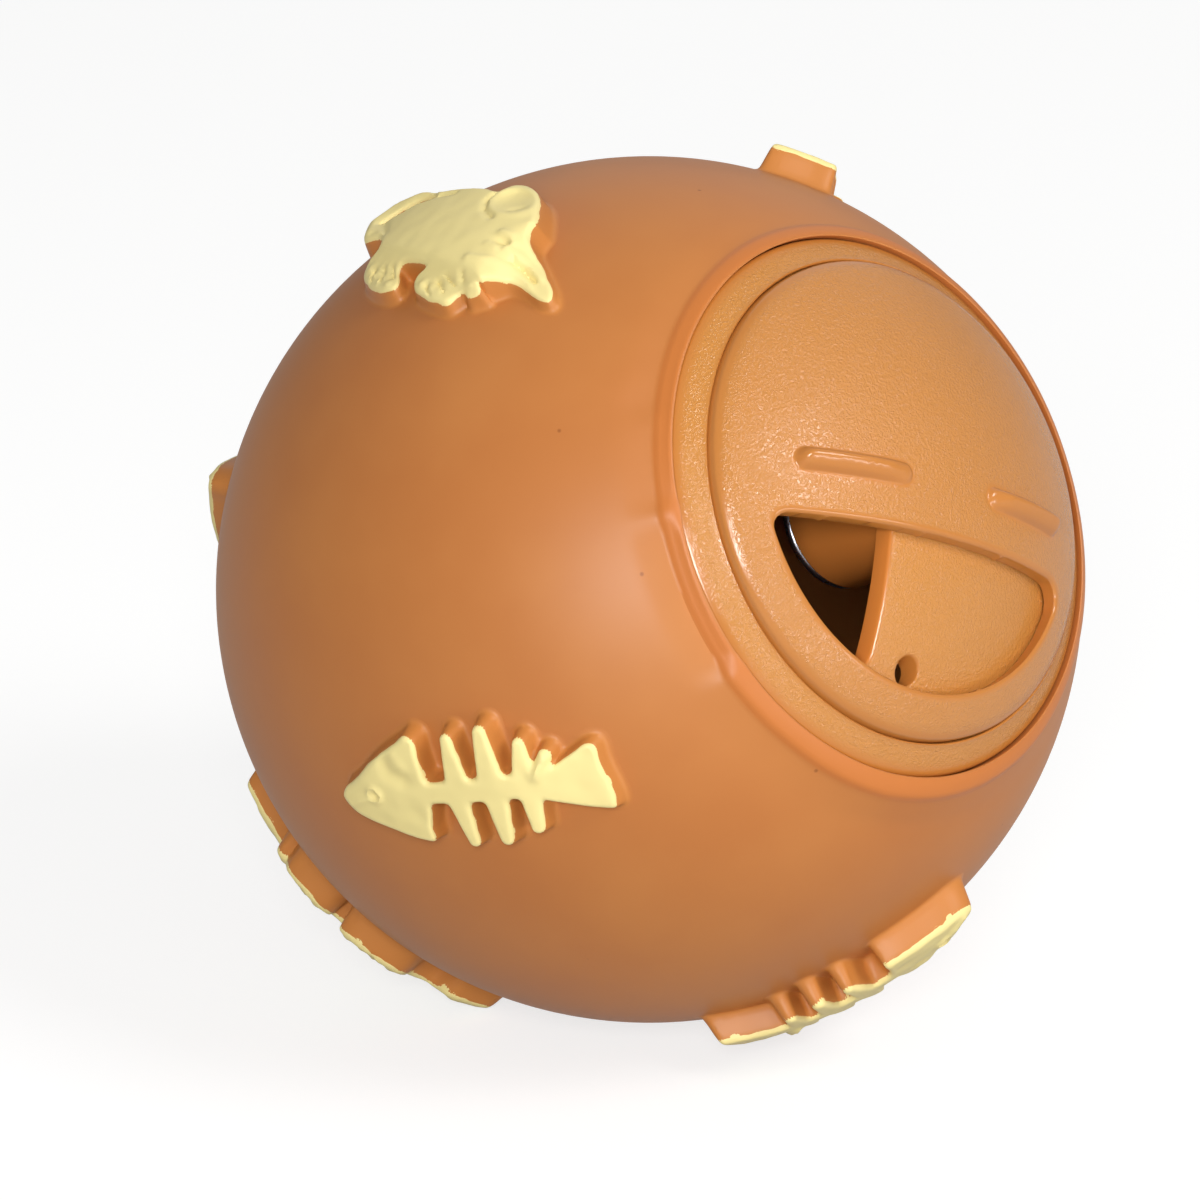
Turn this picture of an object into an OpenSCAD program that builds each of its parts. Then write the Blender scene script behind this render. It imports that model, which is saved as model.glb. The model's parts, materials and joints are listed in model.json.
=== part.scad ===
// Treat dispensing ball for a cat.
// A hollow soft vinyl ball with moulded fish bones and mice, closed by a round plastic lid.
// A dial turns on the lid, and the overlap of its window with the lid's opening meters the treats.
// The ball stands at the origin on its lowest point, with its lid tilted up towards -Y.

/* [Ball] */
// Outer diameter of the ball
ball_d = 75; // [60:1:110]
// Wall of the ball
ball_wall = 2; // [1.5:0.1:3]
// Tilt of the lid's axis above the horizontal, in degrees
lid_tilt = 28; // [0:1:60]

/* [Mouth] */
// Width of the raised vinyl lip around the mouth
lip_w = 1.3; // [1:0.1:3]
// Height of that lip above the ball
lip_h = 0.5; // [0.3:0.1:1]
// Thickness of the inner rim that the lid snaps over
rim_t = 1.9; // [1.2:0.1:2.4]
// Width of the inner rim
rim_w = 1.9; // [1.5:0.1:2.2]
// How far the inner rim reaches outwards, into the ball's wall
rim_root_w = 2.6; // [2:0.1:3.5]

/* [Lid] */
// Radius of the lid's outer ring
ring_r = 23; // [20:0.1:24]
// How far the ring's face lies below the ball's outer surface
ring_drop = 0.2; // [0:0.1:0.6]
// Thickness of the ring at its outer edge
ring_edge_t = 1.8; // [1.4:0.1:2.4]
// Rounding of the ring's outer edge
ring_round = 0.8; // [0.3:0.1:1]
// How far the lid's plate lies below the ball's outer surface
plate_drop = 1; // [0.8:0.1:1.5]
// Thickness of the lid's plate
plate_t = 1.8; // [1.2:0.1:2.4]
// Wall of the lid's skirt
skirt_t = 1.5; // [1:0.1:2]
// Height of the skirt's snap bead
bead_h = 1; // [0.8:0.1:1.5]
// How far the snap bead stands out of the skirt
bead_out = 1; // [0.6:0.1:1.2]
// Radius of the lid's hub
hub_r = 5.9; // [5:0.1:7]
// Length of the hub, from the back of the plate at the axis
hub_len = 10.4; // [8:0.1:12]
// Radius of the pin hole
pin_r = 1.1; // [0.8:0.1:1.5]
// Distance of the pin hole from the lid's axis
pin_off = 15.4; // [12:0.1:15.8]
// Direction of the pin hole, in degrees round the lid's axis
pin_az = 240; // [200:1:300]

/* [Openings] */
// Radius of the round side of the lid's opening and of the dial's window
gate_r = 17; // [14:0.1:17.5]
// Distance of their straight side from the axis
gate_chord = 5; // [4.5:0.1:6]
// Radius of their corners
gate_corner = 1.6; // [0.8:0.1:2.4]
// Direction of the lid's opening, in degrees round the lid's axis
lid_gate_az = 154; // [0:1:359]
// Direction of the dial's window, in degrees round the lid's axis
dial_gate_az = 244; // [0:1:359]

/* [Dial] */
// Width of the lid's ring that shows around the dial
ring_face_w = 2.6; // [2.2:0.1:4.5]
// How far the dial's face stands above the ball's outer surface
dial_rise = 0.4; // [0:0.1:1]
// Rounding of the dial's edge
dial_round = 0.8; // [0.3:0.1:1]
// Radius of the dial's post
post_r = 3.4; // [3:0.1:3.8]
// Length of each finger rib
rib_len = 10.3; // [8:0.1:11]
// Width of each finger rib
rib_w = 1.8; // [1.4:0.1:3]
// Height of each finger rib above the dial
rib_h = 1.3; // [0.8:0.1:2.5]
// Distance of each finger rib's inner end from the axis
rib_in = 4.3; // [3:0.1:5]
// How far the finger ribs lie off the dial's middle, towards its window
rib_shift = 0.5; // [0:0.1:1.5]

/* [Screw] */
// Radius of the screw's shank
shank_r = 1.5; // [1.2:0.1:1.8]
// Radius of the screw's head
head_r = 4.5; // [3.5:0.1:5]
// Height of the screw's head
head_h = 3.4; // [2.4:0.1:4]
// Length of the screw under its head
screw_len = 10; // [8:0.5:11]
// Depth of the cross in the screw's head
cross_depth = 1.8; // [1:0.1:2.4]
// Width of each arm of the cross
cross_w = 1; // [0.8:0.1:1.4]
// Length of each arm of the cross, end to end
cross_len = 4.4; // [3:0.1:5]
// Radius of the washer
washer_r = 5.7; // [4.8:0.1:5.9]
// Thickness of the washer
washer_t = 0.8; // [0.5:0.1:1.2]

/* [Reliefs] */
// Height of the fish and mice above the ball, with their paint
relief_h = 2.7; // [1.5:0.1:4]
// Thickness of the paint on their faces
paint_t = 0.3; // [0.2:0.1:0.5]
// Length of each fish
fish_len = 24.7; // [18:0.1:28]
// Length of each mouse
mouse_len = 29.4; // [22:0.1:32]
// Width of a fish's ribs
fish_rib_w = 1.7; // [1.2:0.1:2]
// Width of a fish's backbone
fish_spine_w = 2.1; // [1.6:0.1:2.6]

/* [Fits] */
// Radial clearance of the lid in the ball, and of the dial's post in the hub
turn_gap = 0.08; // [0.04:0.01:0.1]
// Gap between the dial and the lid, and between the bead and the inner rim
slide_gap = 0.12; // [0.1:0.01:0.3]
// Clearance of the screw in the washer
washer_gap = 0.1; // [0.05:0.01:0.2]
// How far the screw's thread bites into the post
thread_bite = 0.25; // [0.1:0.05:0.4]

/* [Hidden] */
$fn = 96;

// How far a cut runs past the solid that it cuts
over = 1;
ball_r = ball_d / 2;
inner_r = ball_r - ball_wall;

// Flats that each rounded corner of an opening is made of
gate_corner_flats = 4;

// The dial, which the lid's ring surrounds
dial_r = ring_r - ring_face_w;

// Faces of the lid and the dial, as radii from the middle of the ball
ring_face_r = ball_r - ring_drop;
plate_face_r = ball_r - plate_drop;
plate_back_r = plate_face_r - plate_t;
dial_face_r = ball_r + dial_rise;
dial_back_r = plate_face_r + slide_gap;

// Heights along the lid's axis, from the middle of the ball
ring_top_z = sqrt(pow(ring_face_r, 2) - pow(ring_r, 2));
rim_top_z = ring_top_z - ring_edge_t;
rim_low_z = rim_top_z - rim_t;
bead_top_z = rim_low_z - slide_gap;
bead_low_z = bead_top_z - bead_h;
hub_end = plate_back_r - hub_len;
post_end = hub_end - slide_gap;
washer_low_z = post_end - washer_t;
screw_tip_z = washer_low_z + screw_len;

// Radii of the mouth, the skirt and the dial's recess
seat_bore_r = ring_r + turn_gap;
skirt_r = ring_r - rim_w;
rim_bore_r = skirt_r + turn_gap;
recess_r = dial_r + slide_gap;
hub_bore_r = post_r + turn_gap;

// Angles that place each fish and mouse: from the lid's axis, round it, and turn of the figure
fish_angles = [[76, 50, 55], [75, 195, 73.5], [76, 267, -119], [147, 120, 236], [143, 312, 51]];
mouse_angles = [[72.7, 119, 71.4], [92, 342, 255], [139, 224, 218], [141, 35, 40]];

// Outlines of the fish and the mouse, as shares of the figure's length
fish_head_shares = [[-0.48, -0.06], [-0.425, -0.095], [-0.31, -0.15], [-0.18, -0.18], [-0.165, -0.175],
    [-0.15, -0.1], [-0.125, -0.045], [-0.125, 0.05], [-0.14, 0.185], [-0.18, 0.2],
    [-0.49, 0.02], [-0.5, -0.02]];
fish_tail_shares = [[0.285, -0.075], [0.465, -0.14], [0.5, -0.135], [0.485, -0.01], [0.48, 0.09],
    [0.445, 0.1], [0.31, 0.03], [0.285, 0.03]];
// Each rib of the fish: its foot on the backbone, then its tip
fish_rib_shares = [[[-0.012, 0.02], [-0.012, 0.17]], [[0.105, 0.02], [0.115, 0.18]],
    [[0.235, 0.02], [0.235, 0.12]], [[0.31, 0], [0.315, 0.075]],
    [[-0.025, -0.04], [-0.03, -0.17]], [[0.105, -0.05], [0.085, -0.18]],
    [[0.235, -0.06], [0.21, -0.145]]];
fish_spine_shares = [[-0.14, 0], [0.3, -0.02]];
mouse_body_shares = [[-0.262, -0.092], [-0.238, -0.133], [-0.255, -0.165], [-0.22, -0.2], [-0.12, -0.23],
    [-0.06, -0.2], [-0.085, -0.143], [0.027, -0.136], [0.034, -0.143], [0.02, -0.18],
    [0.07, -0.215], [0.22, -0.2], [0.265, -0.16], [0.241, -0.126], [0.327, -0.095],
    [0.473, -0.112], [0.5, -0.099], [0.49, -0.071], [0.449, -0.037], [0.333, 0.031],
    [0.248, 0.078], [0.225, 0.12], [0.02, 0.18], [-0.075, 0.204], [-0.204, 0.184],
    [-0.327, 0.19], [-0.415, 0.177], [-0.473, 0.133], [-0.493, 0.054], [-0.456, -0.02],
    [-0.381, -0.068], [-0.296, -0.054]];
// Gap between the mouse's tail and its back
mouse_gap_shares = [[-0.415, 0.02], [-0.395, 0.012], [-0.34, 0.08], [-0.255, 0.135],
    [-0.262, 0.155], [-0.36, 0.12], [-0.415, 0.06]];
// Round parts of the mouse: middle across, middle up, radius
mouse_round_shares = [[0.073, 0.143, 0.112], [0.15, 0.11, 0.1], [0.26, -0.162, 0.03],
    [0.18, -0.197, 0.044], [0.1, -0.197, 0.046], [-0.06, -0.208, 0.046], [-0.14, -0.205, 0.042],
    [-0.215, -0.172, 0.045]];

// Puts what follows in the lid's frame: its axis along z, the middle of the ball at the origin
module on_lid() {
    translate([0, 0, ball_r])
        rotate([90 - lid_tilt, 0, 0])
            children();
}

// A round bar from one height to another along the lid's axis
module bar(r, low, high) {
    translate([0, 0, low])
        cylinder(r = r, h = high - low);
}

// A layer between two spheres round the middle of the ball
module layer(low_r, high_r) {
    difference() {
        sphere(r = high_r, $fn = 180);
        sphere(r = low_r, $fn = 180);
    }
}

// The sliver to cut off a corner that a circle rounds, between the circle's two tangent directions
module corner_waste(middle, r, out_1, out_2) {
    reach = 3 * r;
    difference() {
        polygon([middle, middle + reach * out_1, middle + reach * (out_1 + out_2), middle + reach * out_2]);
        translate(middle)
            circle(r = r);
    }
}

// Outline of the lid's opening and the dial's window: a round side and a straight one
module gate_outline() {
    corner_y = gate_chord + gate_corner;
    corner_x = sqrt(pow(gate_r - gate_corner, 2) - pow(corner_y, 2));
    lift = atan2(corner_y, corner_x);
    right = [for (step = [0:gate_corner_flats - 1])
        let (a = -90 + (lift + 90) * step / gate_corner_flats)
            [corner_x + gate_corner * cos(a), corner_y + gate_corner * sin(a)]];
    left = [for (step = [gate_corner_flats - 1:-1:0]) [-right[step][0], right[step][1]]];
    far = 2 * gate_r;
    intersection() {
        circle(r = gate_r);
        polygon(concat(right, [[far * cos(lift), far * sin(lift)], [0, 2 * far],
                               [-far * cos(lift), far * sin(lift)]], left));
    }
}

// That outline as a cutter through the lid or the dial, turned to its direction
module gate_cut(az) {
    rotate([0, 0, az - 90])
        translate([0, 0, hub_end + over])
            linear_extrude(height = ball_r)
                gate_outline();
}

// Everything inside a circle round the middle of the ball, from the axis outwards and above a height
module disc_section(r, low_z, edge_r) {
    intersection() {
        circle(r = r, $fn = 360);
        translate([0, low_z])
            square([edge_r, ball_d]);
    }
}

// Half section of a round plate whose top is a sphere and whose outer edge is rounded
module domed_section(edge_r, face_r, low_z, edge_round) {
    round_x = edge_r - edge_round;
    round_z = sqrt(pow(face_r - edge_round, 2) - pow(round_x, 2));
    middle = [round_x, round_z];
    difference() {
        disc_section(face_r, low_z, edge_r);
        corner_waste(middle, edge_round, [1, 0], middle / norm(middle));
    }
}

// Half section of the ball: its wall, the lip and the inner rim round the mouth
module ball_section() {
    difference() {
        union() {
            difference() {
                disc_section(ball_r, -ball_r, ball_r);
                circle(r = inner_r, $fn = 360);
            }
            difference() {
                disc_section(ball_r + lip_h, rim_top_z, seat_bore_r + lip_w);
                circle(r = inner_r, $fn = 360);
            }
            intersection() {
                circle(r = ball_r, $fn = 360);
                translate([0, rim_low_z])
                    square([seat_bore_r + rim_root_w, rim_t]);
            }
        }
        translate([0, rim_top_z])
            square([seat_bore_r, ball_r]);
        translate([0, rim_low_z - over])
            square([rim_bore_r, rim_t + 2 * over]);
    }
}

// Half section of the lid: ring, recess for the dial, plate, skirt with its snap bead, and hub
module lid_section() {
    difference() {
        domed_section(ring_r, ring_face_r, rim_top_z, ring_round);
        difference() {
            square([recess_r, ball_r]);
            circle(r = plate_face_r, $fn = 360);
        }
        circle(r = plate_back_r, $fn = 360);
    }
    polygon([[skirt_r - skirt_t, bead_low_z], [skirt_r, bead_low_z],
             [skirt_r + bead_out, bead_low_z + bead_h / 2], [skirt_r + bead_out, bead_top_z],
             [skirt_r, bead_top_z], [skirt_r, rim_top_z + ring_edge_t / 2],
             [skirt_r - skirt_t, rim_top_z + ring_edge_t / 2]]);
}

// Outline of a fish skeleton, nose towards -x
module fish_outline() {
    polygon(fish_head_shares * fish_len);
    polygon(fish_tail_shares * fish_len);
    strip(fish_spine_shares[0] * fish_len, fish_spine_shares[1] * fish_len, fish_spine_w);
    for (rib = fish_rib_shares)
        blade(rib[0] * fish_len, rib[1] * fish_len, fish_rib_w);
}

// A strip with its far corners cut off
module blade(from, to, w) {
    along = to - from;
    reach = norm(along);
    translate(from)
        rotate(atan2(along[1], along[0]))
            polygon([[0, -w / 2], [reach, -w / 2], [reach + w / 2, -w / 5], [reach + w / 2, w / 5],
                     [reach, w / 2], [0, w / 2]]);
}

// A straight strip of even width between two points
module strip(from, to, w) {
    along = to - from;
    translate(from)
        rotate(atan2(along[1], along[0]))
            translate([0, -w / 2])
                square([norm(along), w]);
}

// Outline of a mouse, nose towards +x
module mouse_outline() {
    difference() {
        union() {
            polygon(mouse_body_shares * mouse_len);
            for (part = mouse_round_shares)
                translate([part[0], part[1]] * mouse_len)
                    circle(r = part[2] * mouse_len, $fn = 36);
        }
        polygon(mouse_gap_shares * mouse_len);
    }
}

// Stands an outline on the ball's surface at its angles: from the axis, round it, and its own turn
module at_place(angles) {
    rotate([0, angles[0], angles[1]])
        rotate([0, 0, 90 + angles[2]])
            linear_extrude(height = 2 * ball_r)
                children();
}

// The moulded boss under one figure
module relief_boss(angles) {
    intersection() {
        layer(ball_r - ball_wall / 2, ball_r + relief_h - paint_t);
        at_place(angles)
            children();
    }
}

// The coat of paint on one figure's face
module relief_paint(angles) {
    on_lid()
        intersection() {
            layer(ball_r + relief_h - paint_t, ball_r + relief_h);
            at_place(angles)
                children();
        }
}

module ball_shell() {
    color("#C8803F")
        on_lid() {
            rotate_extrude($fn = 180)
                ball_section();
            for (angles = fish_angles)
                relief_boss(angles)
                    fish_outline();
            for (angles = mouse_angles)
                relief_boss(angles)
                    mouse_outline();
        }
}

module lid() {
    color("#E0A055")
        on_lid()
            difference() {
                union() {
                    difference() {
                        rotate_extrude($fn = 180)
                            lid_section();
                        gate_cut(lid_gate_az);
                    }
                    bar(hub_r, hub_end, sqrt(pow(plate_back_r, 2) - pow(hub_r, 2)) + plate_t / 2);
                }
                bar(hub_bore_r, hub_end - over, ball_r);
                rotate([0, 0, pin_az])
                    translate([pin_off, 0, hub_end])
                        cylinder(r = pin_r, h = ball_r, $fn = 48);
            }
}

module dial() {
    color("#E3A45B")
        on_lid()
            difference() {
                union() {
                    difference() {
                        rotate_extrude($fn = 180)
                            dial_section();
                        gate_cut(dial_gate_az);
                    }
                    intersection() {
                        layer(dial_back_r + slide_gap, dial_face_r + rib_h);
                        rotate([0, 0, dial_gate_az - 90])
                            linear_extrude(height = 2 * ball_r)
                                for (side = [-1, 1])
                                    rib_outline(side);
                    }
                }
                bar(shank_r - thread_bite, post_end - over, screw_tip_z + over);
            }
}

// Half section of the dial: its domed plate and the post that runs down through the hub
module dial_section() {
    difference() {
        domed_section(dial_r, dial_face_r, hub_end, dial_round);
        circle(r = dial_back_r, $fn = 360);
    }
    translate([0, post_end])
        square([post_r, (dial_back_r + dial_face_r) / 2 - post_end]);
}

// Outline of one finger rib, along x beside the window, with round ends
module rib_outline(side) {
    near = side * (rib_in + rib_w / 2);
    far = side * (rib_in + rib_len - rib_w / 2);
    strip([near, rib_shift], [far, rib_shift], rib_w);
    for (x = [near, far])
        translate([x, rib_shift])
            circle(d = rib_w, $fn = 32);
}

module hub_washer() {
    color("#8C8C90")
        on_lid()
            difference() {
                bar(washer_r, washer_low_z, post_end);
                bar(shank_r + washer_gap, washer_low_z - over, post_end + over);
            }
}

// A domed head, wider than it is high, with its flat side against the washer
module screw_head() {
    dome_r = (pow(head_r, 2) + pow(head_h, 2)) / (2 * head_h);
    intersection() {
        translate([0, 0, washer_low_z - head_h + dome_r])
            sphere(r = dome_r, $fn = 96);
        bar(head_r, washer_low_z - head_h, washer_low_z);
    }
}

module hub_screw() {
    color("#B9B9BF")
        on_lid()
            difference() {
                union() {
                    screw_head();
                    bar(shank_r, washer_low_z, screw_tip_z - shank_r);
                    translate([0, 0, screw_tip_z - shank_r])
                        cylinder(r1 = shank_r, r2 = shank_r / 4, h = shank_r);
                }
                for (turn = [0, 90])
                    rotate([0, 0, turn])
                        translate([-cross_len / 2, -cross_w / 2, washer_low_z - head_h - over])
                            cube([cross_len, cross_w, cross_depth + over]);
            }
}

module fish_paint(i) {
    color("#F0E2A0")
        relief_paint(fish_angles[i])
            fish_outline();
}

module mouse_paint(i) {
    color("#F0E2A0")
        relief_paint(mouse_angles[i])
            mouse_outline();
}

ball_shell();
lid();
dial();
hub_washer();
hub_screw();
fish_paint(0);  // fish_paint_1
fish_paint(1);  // fish_paint_2
fish_paint(2);  // fish_paint_3
fish_paint(3);  // fish_paint_4
fish_paint(4);  // fish_paint_5
mouse_paint(0);  // mouse_paint_1
mouse_paint(1);  // mouse_paint_2
mouse_paint(2);  // mouse_paint_3
mouse_paint(3);  // mouse_paint_4
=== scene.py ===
"""Looks of a treat dispensing ball: soft vinyl body, painted figures, round lid and turning dial.

Lengths in the classes are millimetres, and an object's mesh is in metres. The pieces are described in
the lid's own frame: the middle of the ball at the origin and the axis of the lid along z.
"""

import json
import logging
import math
from dataclasses import dataclass, field
from enum import Enum
from typing import Callable, Optional, Sequence

import bpy
import numpy as np
from mathutils import Matrix, Vector


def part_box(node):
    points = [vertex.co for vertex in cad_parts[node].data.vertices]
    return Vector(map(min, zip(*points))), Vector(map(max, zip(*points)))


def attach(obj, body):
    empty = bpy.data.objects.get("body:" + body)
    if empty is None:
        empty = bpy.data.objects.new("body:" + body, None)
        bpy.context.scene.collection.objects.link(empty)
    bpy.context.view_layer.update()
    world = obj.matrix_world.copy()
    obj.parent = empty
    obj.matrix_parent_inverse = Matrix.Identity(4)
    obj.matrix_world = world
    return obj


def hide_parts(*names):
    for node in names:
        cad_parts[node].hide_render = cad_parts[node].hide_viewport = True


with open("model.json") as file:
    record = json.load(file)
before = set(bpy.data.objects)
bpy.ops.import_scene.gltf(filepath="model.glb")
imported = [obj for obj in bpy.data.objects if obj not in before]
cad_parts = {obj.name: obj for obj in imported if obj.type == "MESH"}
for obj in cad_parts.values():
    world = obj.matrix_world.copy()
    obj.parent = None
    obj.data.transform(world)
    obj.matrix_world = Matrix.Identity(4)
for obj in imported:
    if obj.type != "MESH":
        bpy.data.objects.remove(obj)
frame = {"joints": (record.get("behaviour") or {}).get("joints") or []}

log = logging.getLogger("treat_ball")

Field = Callable[[np.ndarray], np.ndarray]

MM = 0.001

# Steps round the axis of the large turned surfaces
ROUND_STEPS = 336
# Faces that meet at more than this many degrees keep a sharp edge
SHARP_DEGREES = 38


def linear(colour: str) -> tuple[float, float, float, float]:
    """Turns an sRGB hex colour to linear values.

    Args:
        colour: six hex digits after a hash sign.

    Returns:
        Red, green, blue and an alpha of one.
    """
    shares = [int(colour[i : i + 2], 16) / 255 for i in (1, 3, 5)]
    out = [s / 12.92 if s <= 0.04045 else ((s + 0.055) / 1.055) ** 2.4 for s in shares]
    return out[0], out[1], out[2], 1.0


def smooth(low: float, high: float, value: np.ndarray) -> np.ndarray:
    """Rises smoothly from 0 at low to 1 at high."""
    t = np.clip((value - low) / (high - low), 0, 1)
    return t * t * (3 - 2 * t)


def ripple(points: np.ndarray, length: float, turn: float = 0.0) -> np.ndarray:
    """A calm random looking wave.

    Args:
        points: places on a plane, one in each row.
        length: typical length of a wave, in the unit of the places.
        turn: shifts the pattern, so that two uses differ.

    Returns:
        A height from about -1 to 1 for each place.
    """
    golden = math.pi * (3 - math.sqrt(5))
    waves = 7
    usual_peak = 4
    total = np.zeros(len(points))
    for k in range(waves):
        angle = golden * k + turn
        reach = length * (0.7 + 0.11 * k)
        along = points[:, 0] * math.cos(angle) + points[:, 1] * math.sin(angle)
        total += np.sin(2 * math.pi * along / reach + 1.7 * k + 3.1 * turn)
    return total / usual_peak


def round_wave(angles: np.ndarray, turn: float = 0.0) -> np.ndarray:
    """The same kind of wave round a circle, for angles in radians."""
    orders = (2, 3, 5, 8, 13)
    return sum(np.sin(n * angles + 2.3 * n + turn) / (1 + 0.25 * n) for n in orders) / 2


@dataclass(frozen=True)
class LidFrame:
    """Where the lid's own frame lies in the row frame."""

    origin: Vector
    axis: Vector

    def points(self, local: np.ndarray) -> np.ndarray:
        """Turns points of the lid's frame to the row frame.

        Args:
            local: the points in millimetres, one in each row.

        Returns:
            The points in metres.
        """
        z = np.array(self.axis)
        x = np.array([1.0, 0.0, 0.0])
        y = np.cross(z, x)
        return local @ np.stack([x, y, z]) * MM + np.array(self.origin)


@dataclass
class Surface:
    """Points with their faces, and at each point a share that its finish reads as the grain.

    On the plastics it is 1 where the mould left its grain, 0 where the tool was polished, which is
    coloured a little darker as painted shade, and -1 where the plastic is coloured deeper as painted
    glow for light let through. On the vinyl it is 1 on the trimmed lip and -1 on the walls under the
    figures, both coloured more orange as painted glow. On the paint it is the share of painted shade,
    most in hollows and creases and none on ridges.
    """

    points: np.ndarray
    faces: list[np.ndarray]
    grain: np.ndarray

    @staticmethod
    def joined(parts: Sequence["Surface"]) -> "Surface":
        """Puts several surfaces into one.

        Args:
            parts: the surfaces.

        Returns:
            One surface with the points and faces of all of them.
        """
        start = 0
        faces: list[np.ndarray] = []
        for part in parts:
            faces += [f + start for f in part.faces]
            start += len(part.points)
        points = np.concatenate([p.points for p in parts])
        return Surface(points, faces, np.concatenate([p.grain for p in parts]))


@dataclass
class Sheet:
    """Triangles on a plane, into which the lines of a field can be cut."""

    points: np.ndarray
    tris: np.ndarray
    step: float

    @classmethod
    def cover(cls, low: Sequence[float], high: Sequence[float], step: float) -> "Sheet":
        """Covers a rectangle with even triangles.

        Args:
            low: its lowest corner.
            high: its highest corner.
            step: side of a triangle.

        Returns:
            The covering sheet.
        """
        rise = step * math.sqrt(3) / 2
        rows = int((high[1] - low[1]) / rise) + 2
        cols = int((high[0] - low[0]) / step) + 2
        r, c = np.meshgrid(np.arange(rows), np.arange(cols), indexing="ij")
        x = low[0] + (c + 0.5 * (r % 2)) * step
        y = low[1] + r * rise
        i = (r * cols + c)[:-1, :-1]
        odd = (r % 2)[:-1, :-1].ravel() == 1
        a, b, d, e = (k.ravel() for k in (i, i + 1, i + cols, i + cols + 1))
        even_tris = np.stack([a, b, d, b, e, d], 1)[~odd]
        odd_tris = np.stack([a, b, e, a, e, d], 1)[odd]
        tris = np.concatenate([even_tris, odd_tris]).reshape(-1, 3)
        return cls(np.stack([x.ravel(), y.ravel()], 1), tris, step)

    def split(self, values: Field, level: float) -> None:
        """Cuts the line on which a field has one level into the triangles.

        Args:
            values: the field.
            level: its value on the line.
        """
        v = values(self.points) - level
        self._snap(values, v)
        sign = np.sign(v)
        t = self.tris
        ends = np.stack([t, np.roll(t, -1, 1)], 2).reshape(-1, 2)
        cut = sign[ends[:, 0]] * sign[ends[:, 1]] < 0
        if not cut.any():
            return
        pairs, where = np.unique(np.sort(ends[cut], 1), axis=0, return_inverse=True)
        new = self._crossings(values, level, pairs, v)
        place = np.full(len(ends), -1)
        place[cut] = where.ravel() + len(self.points)
        place = place.reshape(-1, 3)
        self.points = np.concatenate([self.points, new])
        self.tris = self._cut_tris(t, place)

    def split_all(self, values: Field, levels: Sequence[float]) -> None:
        """Cuts the lines of several levels of one field."""
        for level in levels:
            self.split(values, level)

    def _snap(self, values: Field, v: np.ndarray) -> None:
        """Moves points that are almost on the line onto it, so that no sliver is left.

        Args:
            values: the field.
            v: how far the field lies above the line's level at each point, set to 0 where it moves.
        """
        near_share = 0.16
        h = 0.02
        least_slope = 0.5
        near = np.abs(v) < near_share * self.step
        if not near.any():
            return
        p = self.points[near]
        gx = (values(p + [h, 0]) - values(p - [h, 0])) / (2 * h)
        gy = (values(p + [0, h]) - values(p - [0, h])) / (2 * h)
        size = np.maximum(gx * gx + gy * gy, least_slope**2)
        self.points[near] = p - np.stack([gx, gy], 1) * (v[near] / size)[:, None]
        v[near] = 0

    def _crossings(
        self, values: Field, level: float, pairs: np.ndarray, v: np.ndarray
    ) -> np.ndarray:
        """Finds where the line crosses each edge, by a few steps of false position.

        Args:
            values: the field.
            level: its value on the line.
            pairs: the two points of each crossed edge.
            v: how far the field lies above the level at each point.

        Returns:
            The place of each crossing.
        """
        steps = 3
        a, b = self.points[pairs[:, 0]].copy(), self.points[pairs[:, 1]].copy()
        va, vb = v[pairs[:, 0]].copy(), v[pairs[:, 1]].copy()
        for _ in range(steps):
            middle = a + (b - a) * (va / (va - vb))[:, None]
            vm = values(middle) - level
            first = va * vm > 0
            a[first] = middle[first]
            va[first] = vm[first]
            b[~first] = middle[~first]
            vb[~first] = np.where(vm[~first] == 0, -1e-9 * va[~first], vm[~first])
        return middle

    @staticmethod
    def _cut_tris(t: np.ndarray, place: np.ndarray) -> np.ndarray:
        """Replaces each crossed triangle with two or three smaller ones.

        Args:
            t: the triangles.
            place: the new point on each side of each triangle, or -1 where there is none.

        Returns:
            All triangles after the cut.
        """
        count = (place >= 0).sum(1)
        out = [t[count == 0]]
        for turn in range(3):
            tt, pp = np.roll(t, -turn, 1), np.roll(place, -turn, 1)
            lone = (count == 2) & (pp[:, 0] >= 0) & (pp[:, 2] >= 0)
            a, b, c = tt[lone].T
            m, n = pp[lone, 0], pp[lone, 2]
            out.append(np.stack([a, m, n, m, b, c, m, c, n], 1).reshape(-1, 3))
            single = (count == 1) & (pp[:, 1] >= 0)
            a, b, c = tt[single].T
            m = pp[single, 1]
            out.append(np.stack([a, b, m, a, m, c], 1).reshape(-1, 3))
        return np.concatenate(out)

    def keep(self, values: Field, level: float = 0.0) -> None:
        """Keeps the triangles whose middle has more than the level, and their points.

        Args:
            values: the field.
            level: what it must be above.
        """
        middle = self.points[self.tris].mean(1)
        self.tris = self.tris[values(middle) > level]
        used, order = np.unique(self.tris, return_inverse=True)
        self.tris = order.reshape(-1, 3)
        self.points = self.points[used]

    def rim(self) -> np.ndarray:
        """The edges that only one triangle has.

        Returns:
            Both points of each edge, in that triangle's direction.
        """
        ends = np.stack([self.tris, np.roll(self.tris, -1, 1)], 2).reshape(-1, 2)
        key = np.sort(ends, 1)
        _, first, counts = np.unique(key, axis=0, return_index=True, return_counts=True)
        return ends[first[counts == 1]]

    def closed_faces(self) -> list[np.ndarray]:
        """Faces of a closed skin, whose lower points follow the upper ones in the same order.

        Returns:
            The upper side, the lower side turned over, and the walls between them.
        """
        n = len(self.points)
        rim = self.rim()
        walls = np.stack([rim[:, 1], rim[:, 0], rim[:, 0] + n, rim[:, 1] + n], 1)
        return [self.tris, self.tris[:, ::-1] + n, walls]

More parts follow.
